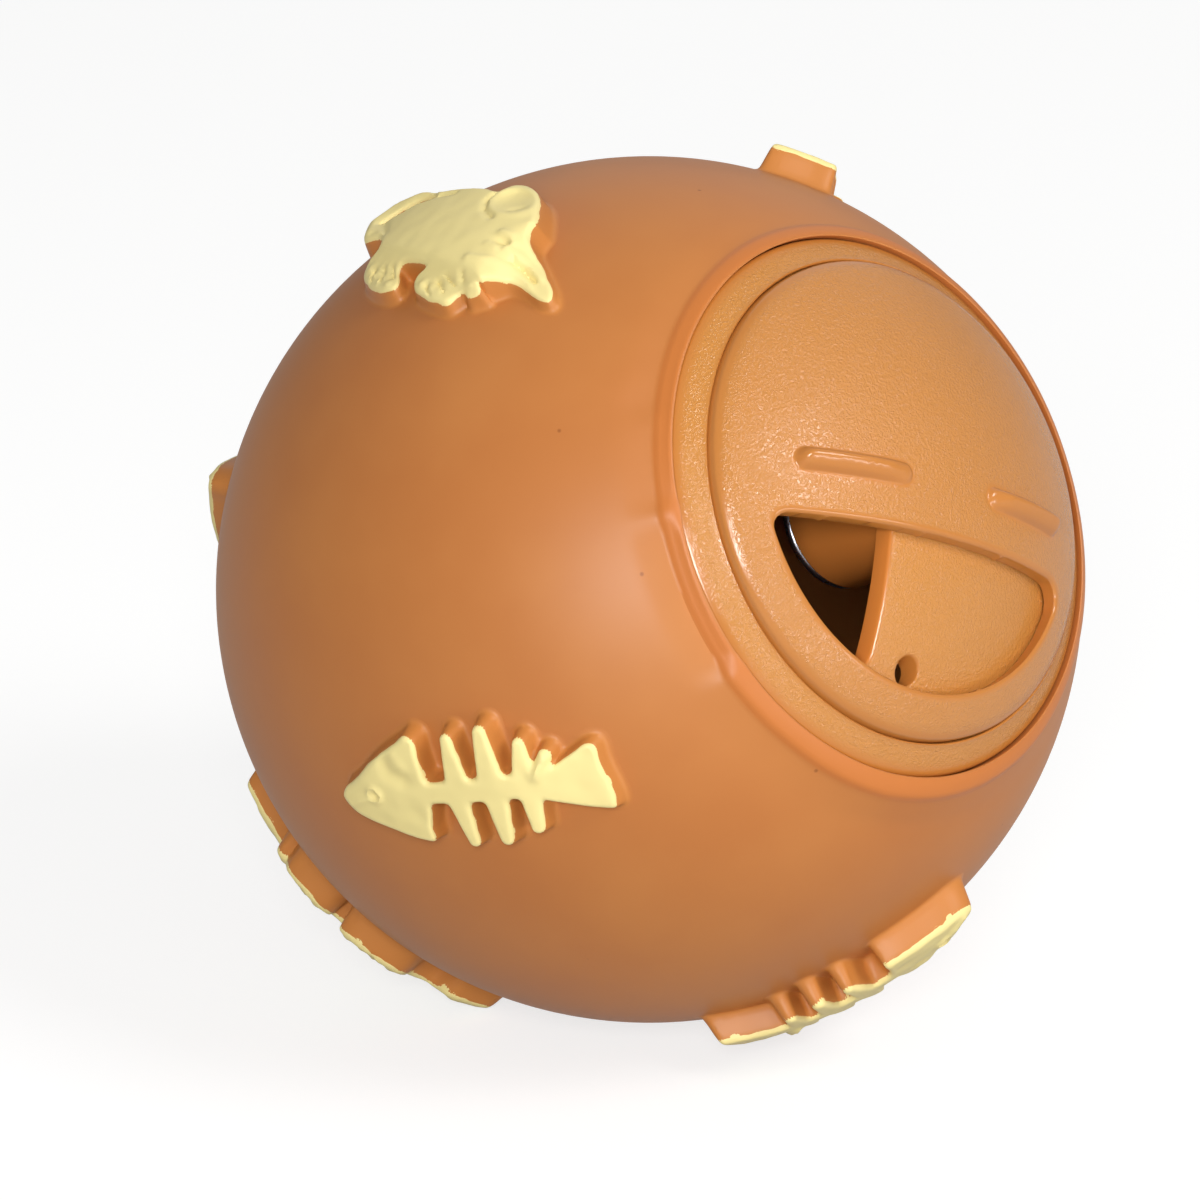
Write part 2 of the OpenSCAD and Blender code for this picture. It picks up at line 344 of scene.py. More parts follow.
    def slab(self, top: np.ndarray, bottom: np.ndarray, grain: np.ndarray) -> Surface:
        """Makes a closed slab of the sheet.

        Args:
            top: height of each point on the upper side.
            bottom: height of each point on the lower side.
            grain: grain at each point.

        Returns:
            Upper side, lower side and the walls between them.
        """
        points = np.concatenate([np.c_[self.points, top], np.c_[self.points, bottom]])
        return Surface(points, self.closed_faces(), np.concatenate([grain, grain]))


@dataclass(frozen=True)
class FieldMap:
    """A field read off a fine grid, so that a slow one is worked out only once."""

    low: np.ndarray
    step: float
    values: np.ndarray

    @classmethod
    def of(
        cls, source: Field, low: Sequence[float], high: Sequence[float], step: float
    ) -> "FieldMap":
        """Samples a field over a rectangle.

        Args:
            source: the field.
            low: the rectangle's lowest corner.
            high: its highest corner.
            step: distance between samples.

        Returns:
            The sampled field.
        """
        xs = np.arange(low[0], high[0] + step, step)
        ys = np.arange(low[1], high[1] + step, step)
        gx, gy = np.meshgrid(xs, ys, indexing="ij")
        values = source(np.stack([gx.ravel(), gy.ravel()], 1)).reshape(gx.shape)
        return cls(np.array(low, float), step, values)

    def __call__(self, points: np.ndarray) -> np.ndarray:
        """Reads the field between the samples.

        Args:
            points: places on the plane, one in each row.

        Returns:
            The field at each place.
        """
        q = (points - self.low) / self.step
        q = np.clip(q, 0, np.array(self.values.shape) - 1.001)
        i = q.astype(int)
        f = q - i
        v = self.values
        low = v[i[:, 0], i[:, 1]] * (1 - f[:, 1]) + v[i[:, 0], i[:, 1] + 1] * f[:, 1]
        high = v[i[:, 0] + 1, i[:, 1]] * (1 - f[:, 1]) + v[i[:, 0] + 1, i[:, 1] + 1] * f[:, 1]
        return low * (1 - f[:, 0]) + high * f[:, 0]


def loop_through(stations: Sequence[tuple[float, float]], steps: int = 5) -> np.ndarray:
    """Draws a smooth closed line through points.

    Args:
        stations: the points, in order.
        steps: pieces of each span.

    Returns:
        The line's points.
    """

    def root_span(a: np.ndarray, b: np.ndarray) -> np.ndarray:
        """Square root of the distance between the points of two lines."""
        return np.maximum(np.linalg.norm(b - a, axis=1, keepdims=True), 1e-6) ** 0.5

    p = np.array(stations, float)
    before, after, beyond = np.roll(p, 1, 0), np.roll(p, -1, 0), np.roll(p, -2, 0)
    d0, d1, d2 = root_span(before, p), root_span(p, after), root_span(after, beyond)
    m1 = d1 * ((p - before) / d0 - (after - before) / (d0 + d1) + (after - p) / d1)
    m2 = d1 * ((after - p) / d1 - (beyond - p) / (d1 + d2) + (beyond - after) / d2)
    rows = []
    for k in range(steps):
        t = k / steps
        rows.append(
            (2 * t**3 - 3 * t**2 + 1) * p
            + (t**3 - 2 * t**2 + t) * m1
            + (3 * t**2 - 2 * t**3) * after
            + (t**3 - t**2) * m2
        )
    return np.stack(rows, 1).reshape(-1, 2)


def loop_distance(points: np.ndarray, loop: np.ndarray) -> np.ndarray:
    """Distance to a closed line, negative inside it.

    Args:
        points: places on the plane, one in each row.
        loop: the line's points, in order.

    Returns:
        The distance of each place.
    """
    best = np.full(len(points), 1e9)
    inside = np.zeros(len(points), bool)
    for a, b in zip(loop, np.roll(loop, -1, 0)):
        e, w = b - a, points - a
        t = np.clip(w @ e / max(e @ e, 1e-12), 0, 1)
        off = w - t[:, None] * e
        best = np.minimum(best, (off * off).sum(1))
        over = (points[:, 1] >= a[1]) != (points[:, 1] >= b[1])
        if over.any():
            side = e[0] * w[:, 1] - e[1] * w[:, 0]
            inside ^= over & ((side > 0) == (b[1] > a[1]))
    return np.where(inside, -1, 1) * np.sqrt(best)


def bar_distance(
    points: np.ndarray,
    foot: Sequence[float],
    tip: Sequence[float],
    foot_r: float,
    tip_r: float,
) -> np.ndarray:
    """Distance to a round ended bar whose radius changes evenly along it.

    Args:
        points: places on the plane, one in each row.
        foot: where the bar starts.
        tip: where it ends.
        foot_r: its radius at the foot.
        tip_r: its radius at the tip.

    Returns:
        The distance of each place, negative inside the bar.
    """
    a, b = np.array(foot, float), np.array(tip, float)
    t = np.clip((points - a) @ (b - a) / ((b - a) @ (b - a)), 0, 1)
    off = np.linalg.norm(points - a - t[:, None] * (b - a), axis=1)
    return off - foot_r - t * (tip_r - foot_r)


def off_axis(points: np.ndarray) -> np.ndarray:
    """Distance of places across the lid's axis from it."""
    return np.linalg.norm(points, axis=1)


def heading(degrees: float) -> np.ndarray:
    """Unit step across the lid's axis in a direction round it."""
    return np.array([math.cos(math.radians(degrees)), math.sin(math.radians(degrees))])


def soft_union(a: np.ndarray, b: np.ndarray, fillet: float) -> np.ndarray:
    """The nearer of two distances, with a fillet where the shapes meet."""
    h = np.maximum(fillet - np.abs(a - b), 0) / fillet
    return np.minimum(a, b) - h * h * fillet / 4


def round_over(depth: np.ndarray, radius: float) -> np.ndarray:
    """How far a rounded edge lies below the face, at a depth into the material from its side."""
    t = np.clip(radius - depth, 0, radius)
    return radius - np.sqrt(radius * radius - t * t)


def dome_height(radius: float, points: np.ndarray) -> np.ndarray:
    """Height of a sphere round the middle of the ball, over points across the axis."""
    return np.sqrt(radius * radius - (points * points).sum(1))


def revolved(
    profile: Sequence[Sequence[float]],
    segments: int = ROUND_STEPS,
    closed: bool = False,
    grain: float = 0.0,
) -> Surface:
    """Turns a profile about the lid's axis.

    Args:
        profile: radius and height of each point.
        segments: steps round the axis.
        closed: whether the last point joins the first.
        grain: grain of the whole surface.

    Returns:
        The turned surface, in rings of points.
    """
    p = np.array(profile, float)
    angles = 2 * math.pi * np.arange(segments) / segments
    x, y = np.outer(p[:, 0], np.cos(angles)), np.outer(p[:, 0], np.sin(angles))
    rings = np.stack([x, y, np.outer(p[:, 1], np.ones(segments))], 2)
    rows = len(p) if closed else len(p) - 1
    i = np.arange(rows)[:, None] * segments
    j = ((np.arange(rows) + 1) % len(p))[:, None] * segments
    c, d = np.arange(segments)[None], (np.arange(segments)[None] + 1) % segments
    quads = np.stack([i + c, i + d, j + d, j + c], 2).reshape(-1, 4)
    points = rings.reshape(-1, 3)
    return Surface(points, [quads], np.full(len(points), grain))


def arc(
    centre: Sequence[float], radius: float, start: float, end: float, steps: int
) -> list[tuple[float, float]]:
    """Points on an arc of a profile, from one angle to another in degrees."""
    angles = np.radians(np.linspace(start, end, steps + 1))
    return [(centre[0] + radius * math.cos(a), centre[1] + radius * math.sin(a)) for a in angles]


def add(
    tree: bpy.types.NodeTree,
    kind: str,
    settings: Optional[dict] = None,
    links: Optional[dict] = None,
) -> bpy.types.Node:
    """Adds a node.

    Args:
        tree: the material's node tree.
        kind: the node's type name, without its prefix.
        settings: its properties by name, and the values of inputs by name or number.
        links: the output that feeds each input, by name or number.

    Returns:
        The new node.
    """
    new = tree.nodes.new("ShaderNode" + kind)
    for name, value in (settings or {}).items():
        if isinstance(name, str) and hasattr(new, name) and name not in new.inputs:
            setattr(new, name, value)
        else:
            new.inputs[name].default_value = value
    for name, output in (links or {}).items():
        tree.links.new(output, new.inputs[name])
    return new


def coarse(size_mm: float) -> float:
    """Texture scale at which a pattern's cells have a size in millimetres."""
    return 1 / (size_mm * MM)


@dataclass(frozen=True)
class SoftVinyl:
    """Plasticised PVC, rotationally moulded and unpolished.

    The eye sees a satin skin with a wide soft highlight, faint clouds in the pigment and a few specks.
    The trimmed lip and the walls under the figures are coloured more orange than the body: painted
    glow, standing in for the light that the vinyl lets through there.
    The skin's real unevenness is too fine to show, so it is drawn 0.9 mm wide.
    """

    body: str = "#BC743A"
    cloud: str = "#C27B3F"
    # painted glow: the lighter, more orange colour of the trimmed lip, for light let through it
    edge: str = "#C87636"
    # painted glow: the more orange colour of the walls under the figures, for light let through them
    painted_wall_glow: str = "#C67E3C"
    speck: str = "#8A4A22"
    ior: float = 1.53
    sheen: float = 0.36
    roughness: float = 0.44
    cloud_mm: float = 13.0
    skin_mm: float = 0.9
    skin_depth_mm: float = 0.012
    speck_mm: float = 4.2

    def build(self) -> bpy.types.Material:
        """Makes the material.

        Returns:
            The new material.
        """
        material, tree, shader = blank_material("soft_vinyl")
        place = add(tree, "TexCoord").outputs["Object"]
        clouds = {"Scale": coarse(self.cloud_mm), "Detail": 3.0}
        cloud = add(tree, "TexNoise", clouds, {"Vector": place}).outputs["Fac"]
        tint = add(tree, "MapRange", {"From Min": 0.35, "From Max": 0.68}, {"Value": cloud})
        pair = {"data_type": "RGBA", 6: linear(self.body), 7: linear(self.cloud)}
        colour = add(tree, "Mix", pair, {0: tint.outputs[0]})
        share = add(tree, "Attribute", {"attribute_name": "grain"}).outputs["Fac"]
        # Painted glow: the wall colour where the share runs to -1 and the lip colour where it runs to 1
        for full, glow_colour in ((-1.0, self.painted_wall_glow), (1.0, self.edge)):
            part = add(tree, "MapRange", {"From Max": full}, {"Value": share})
            over = {"data_type": "RGBA", 7: linear(glow_colour)}
            colour = add(tree, "Mix", over, {0: part.outputs[0], 6: colour.outputs[2]})
        dots = add(tree, "TexVoronoi", {"Scale": coarse(self.speck_mm)}, {"Vector": place})
        chosen = add(tree, "SeparateColor", None, {"Color": dots.outputs["Color"]}).outputs[0]
        rare = add(tree, "MapRange", {"From Min": 0.72, "From Max": 0.74}, {"Value": chosen})
        dot = {"From Min": 0.055, "From Max": 0.02, "To Max": 0.75}
        near = add(tree, "MapRange", dot, {"Value": dots.outputs["Distance"]})
        both = {0: near.outputs[0], 1: rare.outputs[0]}
        spot = add(tree, "Math", {"operation": "MULTIPLY"}, both)
        over = {"data_type": "RGBA", 7: linear(self.speck)}
        colour = add(tree, "Mix", over, {0: spot.outputs[0], 6: colour.outputs[2]})
        tree.links.new(colour.outputs[2], shader.inputs["Base Color"])
        spread = {"To Min": self.roughness - 0.05, "To Max": self.roughness + 0.05}
        gloss = add(tree, "MapRange", spread, {"Value": cloud})
        tree.links.new(gloss.outputs[0], shader.inputs["Roughness"])
        fine = {"Scale": coarse(self.skin_mm), "Detail": 4.0}
        skin = add(tree, "TexNoise", fine, {"Vector": place}).outputs["Fac"]
        depth = {"Strength": 0.35, "Distance": self.skin_depth_mm * MM}
        bump = add(tree, "Bump", depth, {"Height": skin})
        tree.links.new(bump.outputs[0], shader.inputs["Normal"])
        shader.inputs["IOR"].default_value = self.ior
        shader.inputs["Specular IOR Level"].default_value = self.sheen
        return material


@dataclass(frozen=True)
class SparkErodedPlastic:
    """Polypropylene moulded in a spark eroded tool.

    The eye sees a leathery grain that glitters where it mirrors a lamp: soft lumps with sharp pits
    between them. Edges, ribs and slopes come from polished parts of the tool and have no grain; their
    colour is painted a little darker, as painted shade. The hub and the cut edge of the plate are
    painted brighter and deeper in colour, as painted glow for light let through them.
    """

    name: str
    face: str = "#C58340"
    # painted shade: colour of the polished edges, ribs and bevels, a little darker than the face
    polished_shade: str = "#C27C39"
    # painted glow: brighter colour of the hub and the plate's cut edge, for light let through them
    painted_glow: str = "#E58A3E"
    ior: float = 1.49
    face_roughness: float = 0.13
    slope_roughness: float = 0.2
    grain_mm: float = 0.28
    grain_depth_mm: float = 0.041
    sheen: float = 0.6

    def build(self) -> bpy.types.Material:
        """Makes the material.

        Returns:
            The new material.
        """
        material, tree, shader = blank_material(self.name)
        place = add(tree, "TexCoord").outputs["Object"]
        share = add(tree, "Attribute", {"attribute_name": "grain"}).outputs["Fac"]
        # The share mixes the face colour with the painted shade of the polished places and, below 0,
        # with the painted glow.
        grain = add(tree, "MapRange", {"From Max": 1.0}, {"Value": share}).outputs[0]
        inner = add(tree, "MapRange", {"From Max": -1.0}, {"Value": share}).outputs[0]
        pair = {"data_type": "RGBA", 6: linear(self.polished_shade), 7: linear(self.face)}
        skin = add(tree, "Mix", pair, {0: grain})
        over = {"data_type": "RGBA", 7: linear(self.painted_glow)}
        colour = add(tree, "Mix", over, {0: inner, 6: skin.outputs[2]})
        tree.links.new(colour.outputs[2], shader.inputs["Base Color"])
        spread = {"To Min": self.slope_roughness, "To Max": self.face_roughness}
        gloss = add(tree, "MapRange", spread, {"Value": grain})
        tree.links.new(gloss.outputs[0], shader.inputs["Roughness"])
        pattern = {"Scale": coarse(self.grain_mm), "Detail": 2.0, "Roughness": 0.65, "Distortion": 0.6}
        lumps = add(tree, "TexNoise", pattern, {"Vector": place}).outputs["Fac"]
        crisp = add(tree, "MapRange", {"From Min": 0.38, "From Max": 0.66}, {"Value": lumps})
        height = add(tree, "Math", {"operation": "MULTIPLY"}, {0: crisp.outputs[0], 1: grain})
        depth = {"Strength": 1.0, "Distance": self.grain_depth_mm * MM}
        bump = add(tree, "Bump", depth, {"Height": height.outputs[0]})
        tree.links.new(bump.outputs[0], shader.inputs["Normal"])
        shader.inputs["IOR"].default_value = self.ior
        shader.inputs["Specular IOR Level"].default_value = self.sheen
        return material


@dataclass(frozen=True)
class CreamPaint:
    """Flexible vinyl enamel, dabbed by hand onto the raised faces.

    The eye sees a smooth half gloss film with slow waves in it. It is coloured a little greyer in
    hollows and creases and lighter on ridges, as painted shade.
    """

    body: str = "#F4E29B"
    # painted shade: the greyer cream of hollows and creases
    crease_shade: str = "#ECD992"
    ior: float = 1.5
    sheen: float = 0.25
    roughness: float = 0.44
    wave_mm: float = 2.6
    wave_depth_mm: float = 0.04

    def build(self) -> bpy.types.Material:
        """Makes the material.

        Returns:
            The new material.
        """
        material, tree, shader = blank_material("cream_paint")
        place = add(tree, "TexCoord").outputs["Object"]
        share = add(tree, "Attribute", {"attribute_name": "grain"}).outputs["Fac"]
        pair = {"data_type": "RGBA", 6: linear(self.body), 7: linear(self.crease_shade)}
        colour = add(tree, "Mix", pair, {0: share})
        tree.links.new(colour.outputs[2], shader.inputs["Base Color"])
        waves = {"Scale": coarse(self.wave_mm), "Detail": 2.0}
        wave = add(tree, "TexNoise", waves, {"Vector": place}).outputs["Fac"]
        depth = {"Strength": 0.5, "Distance": self.wave_depth_mm * MM}
        bump = add(tree, "Bump", depth, {"Height": wave})
        tree.links.new(bump.outputs[0], shader.inputs["Normal"])
        shader.inputs["Roughness"].default_value = self.roughness
        shader.inputs["IOR"].default_value = self.ior
        shader.inputs["Specular IOR Level"].default_value = self.sheen
        return material


@dataclass(frozen=True)
class PlatedSteel:
    """Steel with a thin plating, either bright nickel or bright zinc.

    The eye sees a mirror on the nickel head, broken by dark reflections, and a softer and bluer one on
    the zinc washer. Handling leaves faint duller patches on both.
    """

    name: str
    body: str
    roughness: float
    patch_mm: float = 1.2

    def build(self) -> bpy.types.Material:
        """Makes the material.

        Returns:
            The new material.
        """
        material, tree, shader = blank_material(self.name)
        place = add(tree, "TexCoord").outputs["Object"]
        pattern = {"Scale": coarse(self.patch_mm), "Detail": 3.0}
        patches = add(tree, "TexNoise", pattern, {"Vector": place}).outputs["Fac"]
        spread = {"To Min": self.roughness * 0.7, "To Max": self.roughness * 1.3}
        gloss = add(tree, "MapRange", spread, {"Value": patches})
        tree.links.new(gloss.outputs[0], shader.inputs["Roughness"])
        shader.inputs["Base Color"].default_value = linear(self.body)
        shader.inputs["Metallic"].default_value = 1.0
        return material


def blank_material(name: str) -> tuple[bpy.types.Material, bpy.types.NodeTree, bpy.types.Node]:
    """Makes a material with only its shader and output.

    Args:
        name: its name.

    Returns:
        The material, its node tree and its shader.
    """
    material = bpy.data.materials.new(name)
    material.use_nodes = True
    return material, material.node_tree, material.node_tree.nodes["Principled BSDF"]


class Finish(Enum):
    """The finishes of the object's pieces."""

    VINYL = SoftVinyl()
    # The lid's face colour is a little lighter than the dial's: painted light on the lid's ring.
    LID = SparkErodedPlastic("lid_plastic", face="#C8863F", polished_shade="#C27B37")
    DIAL = SparkErodedPlastic("dial_plastic")
    PAINT = CreamPaint()
    NICKEL = PlatedSteel("bright_nickel", "#D9D3C9", 0.16)
    ZINC = PlatedSteel("bright_zinc", "#CDD2DC", 0.28)

    def material(self) -> bpy.types.Material:
        """The finish's material, which is made once.

        Returns:
            The material.
        """
        if self.name not in MADE:
            MADE[self.name] = self.value.build()
        return MADE[self.name]


# The materials made so far, by the name of their finish
MADE: dict[str, bpy.types.Material] = {}


@dataclass(frozen=True)
class Workshop:
    """Turns surfaces in the lid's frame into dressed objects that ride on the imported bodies."""

    lid_frame: LidFrame

    def piece(
        self, name: str, surface: Surface, finish: Finish, body: str, replaced: str
    ) -> None:
        """Makes one piece.

        Args:
            name: its name.
            surface: its shape in the lid's frame, in millimetres.
            finish: its finish.
            body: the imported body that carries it.
            replaced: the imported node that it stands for.
        """
        mesh = bpy.data.meshes.new(name)
        faces = [f for group in surface.faces for f in group.tolist()]
        mesh.from_pydata(self.lid_frame.points(surface.points).tolist(), [], faces)
        attribute = mesh.attributes.new("grain", "FLOAT", "POINT")
        attribute.data.foreach_set("value", surface.grain.astype(np.float32))
        mesh.polygons.foreach_set("use_smooth", np.ones(len(mesh.polygons), bool))
        mesh.set_sharp_from_angle(angle=math.radians(SHARP_DEGREES))
        mesh.validate()
        mesh.materials.append(finish.material())
        new = bpy.data.objects.new(name, mesh)
        bpy.context.scene.collection.objects.link(new)
        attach(new, body)
        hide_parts(replaced)
        log.info("%s: %d points, %d faces", name, len(mesh.vertices), len(mesh.polygons))


@dataclass(frozen=True)
class Place:
    """Where a figure stands on the ball, in degrees, and how far its casting has sunk.

    Its angle from the lid's axis, its angle round the axis, its own turn, the share of its sag that
    it takes, and how far its front lies too low, in millimetres.
    """

    polar: float
    round_axis: float
    turn: float
    sag: float = 0.0
    buried: float = 0.0

    def points(self, flat: np.ndarray, radius: np.ndarray) -> np.ndarray:
        """Stands a figure's flat points on spheres round the middle of the ball.

        Args:
            flat: places in the figure's own plane.
            radius: distance of each point from the middle of the ball.

        Returns:
            The points in the lid's frame.
        """
        up = np.sqrt(radius * radius - (flat * flat).sum(1))
        p = np.c_[flat, up]
        turned = (
            Matrix.Rotation(math.radians(self.round_axis), 3, "Z")
            @ Matrix.Rotation(math.radians(self.polar), 3, "Y")
            @ Matrix.Rotation(math.radians(90 + self.turn), 3, "Z")
        )
        return p @ np.array(turned).T


@dataclass(frozen=True)
class Dent:
    """A shallow dent in the ball's skin, or a rise where its depth is negative."""

    polar: float
    round_axis: float
    reach: float
    depth: float


@dataclass
class Ball:
    """The hollow vinyl body with its trimmed mouth."""

    radius: float
    wall: float = 2.0
    seat_r: float = 23.08
    rim_bore_r: float = 21.18
    rim_top: float = 27.565
    rim_t: float = 1.9
    lip_w: float = 1.3
    lip_h: float = 0.5
    back: float = 179.9
    outside_rows: int = 86
    inside_rows: int = 46
    dents: tuple[Dent, ...] = (
        Dent(42.6, 146.0, 1.6, 0.16), Dent(40.9, 148.5, 1.1, -0.10), Dent(54.0, 172.0, 9.0, 0.05),
    )

    def lip_profile(self) -> list[tuple[float, float, float, float]]:
        """The lip, from its foot on the ball to the seat of the lid.

        Returns:
            Radius, height above the ball, share of the wander and share of the lift of each point.
        """
        s, w, h = self.seat_r, self.lip_w, self.lip_h
        return [
            (s + w + 1.5, 0.0, 0.3, 0.0),
            (s + w + 0.7, 0.0, 0.8, 0.1),
            (s + w + 0.3, 0.04 * h, 1.0, 0.5),
            (s + w + 0.12, 0.14 * h, 1.0, 0.9),
            (s + w + 0.02, 0.42 * h, 1.0, 1.0),
            (s + w - 0.06, 0.72 * h, 1.0, 1.0),
            (s + w - 0.2, 0.92 * h, 1.0, 1.0),
            (s + w - 0.4, 0.99 * h, 0.9, 1.0),
            (s + w * 0.4, h, 0.4, 1.0),
            (s + w * 0.2, 0.96 * h, 0.0, 1.0),
            (s + w * 0.09, 0.84 * h, 0.0, 0.9),
            (s + 0.03, 0.6 * h, 0.0, 0.6),
            (s, 0.1 * h, 0.0, 0.3),
        ]

    def surface(self) -> Surface:
        """The whole body, from the back of its outside round the mouth to the back of its inside.

        Returns:
            The body without its figures.
        """

        def meridian(radius: float, start: float, end: float, count: int) -> list[tuple[float, ...]]:
            """Points on a sphere's section, from one angle off the axis to another in degrees."""
            angles = np.radians(np.linspace(start, end, count))
            return [(radius * math.sin(a), radius * math.cos(a), 0.0, 0.0) for a in angles]

        outer, inner = self.radius, self.radius - self.wall
        lip = self.lip_profile()
        low = self.rim_top - self.rim_t
        bevel = 0.15
        first = math.degrees(math.asin(lip[0][0] / outer)) + 1
        inside = math.degrees(math.acos(low / inner)) + 0.6
        rows = meridian(outer, self.back, first, self.outside_rows)
        rows += [(r, math.sqrt(outer**2 - r**2) + h, wander, lift) for r, h, wander, lift in lip]
        seat = [(self.seat_r, z) for z in (29.2, 28.4, self.rim_top + 0.1, self.rim_top)]
        rim = [(r, self.rim_top) for r in (22.4, self.rim_bore_r + bevel)]
        rim += [(self.rim_bore_r, z) for z in (self.rim_top - bevel, low + bevel)]
        rim += [(r, low) for r in (self.rim_bore_r + bevel, 22.6, 24.0)]
        rows += [(r, z, 0.0, 0.0) for r, z in seat + rim]
        rows += meridian(inner, inside, self.back, self.inside_rows)
        table = np.array(rows)
        out = revolved(table[:, :2])
        self._wander(out.points.reshape(len(rows), ROUND_STEPS, 3), table)
        self._dent(out.points[: (len(rows) - self.inside_rows) * ROUND_STEPS])
        # The lip's share of 1 gives it the vinyl's lip colour, which is painted glow.
        out.grain = np.repeat(smooth(0.85, 1.0, table[:, 3]), ROUND_STEPS)
        return out

    def _wander(self, rings: np.ndarray, table: np.ndarray) -> None:
        """Lets the hand trimmed lip change its width and height round the mouth.

        Args:
            rings: the points of the body, ring by ring, which are moved.
            table: radius, height, share of the wander and share of the lift of each ring.
        """
        angles = 2 * math.pi * np.arange(ROUND_STEPS) / ROUND_STEPS
        degrees = np.degrees(angles)
        stations = [0, 60, 110, 150, 164, 167.5, 171, 186, 197, 201, 220, 245, 275, 310, 360]
        widths = [0.1, 0.1, -0.2, -0.45, -0.4, -0.1, -0.5, -0.5, -0.45, 0.25, 0.2, 0.45, 0.3, 0.1, 0.1]
        lifts = [0.9, 0.9, 0.8, 0.7, 0.75, 0.9, 0.6, 0.35, 0.4, 1.0, 1.15, 1.2, 1.1, 0.95, 0.9]
        width = np.interp(degrees, stations, widths) + 0.05 * round_wave(angles)
        lift = np.interp(degrees, stations, lifts) + 0.08 * round_wave(angles, 1.3)
        nicks = [150, 161, 167.5, 173, 186, 198, 206]
        inward = np.interp(degrees, nicks, [0, 0.05, 0.2, 0.04, 0.06, 0.12, 0])
        inward += 0.035 * np.abs(round_wave(angles * 2, 0.4))
        height = table[:, 3] * self.lip_h
        near_edge = table[:, 3] * (table[:, 2] == 0) * (table[:, 0] < self.seat_r + 0.6)
        shift = np.outer(table[:, 2], width) - np.outer(near_edge, inward)
        radius = np.hypot(rings[..., 0], rings[..., 1])
        scale = (radius + shift) / np.maximum(radius, 1e-6)
        rings[..., 0] *= scale
        rings[..., 1] *= scale
        rings[..., 2] += np.outer(height, lift - 1)

    def _dent(self, outside: np.ndarray) -> None:
        """Presses the few shallow dents of the real skin into the outside.

        Args:
            outside: the points of the outside, which are moved.
        """
        direction = outside / np.linalg.norm(outside, axis=1, keepdims=True)
        for dent in self.dents:
            p, a = math.radians(dent.polar), math.radians(dent.round_axis)
            centre = np.array([math.sin(p) * math.cos(a), math.sin(p) * math.sin(a), math.cos(p)])
            off = np.linalg.norm(direction - centre, axis=1) * self.radius
            outside -= direction * (dent.depth * np.exp(-((off / dent.reach) ** 2)))[:, None]


# Section of a figure's wall: distance out of its outline, and share of its full height there
WALL_SECTION = (
    (1.0, -0.02), (0.6, 0.008), (0.42, 0.035), (0.3, 0.11), (0.2, 0.3), (0.12, 0.53),
    (0.05, 0.73), (-0.01, 0.86), (-0.08, 0.93), (-0.17, 0.97), (-0.3, 0.992), (-0.5, 1.0),
)


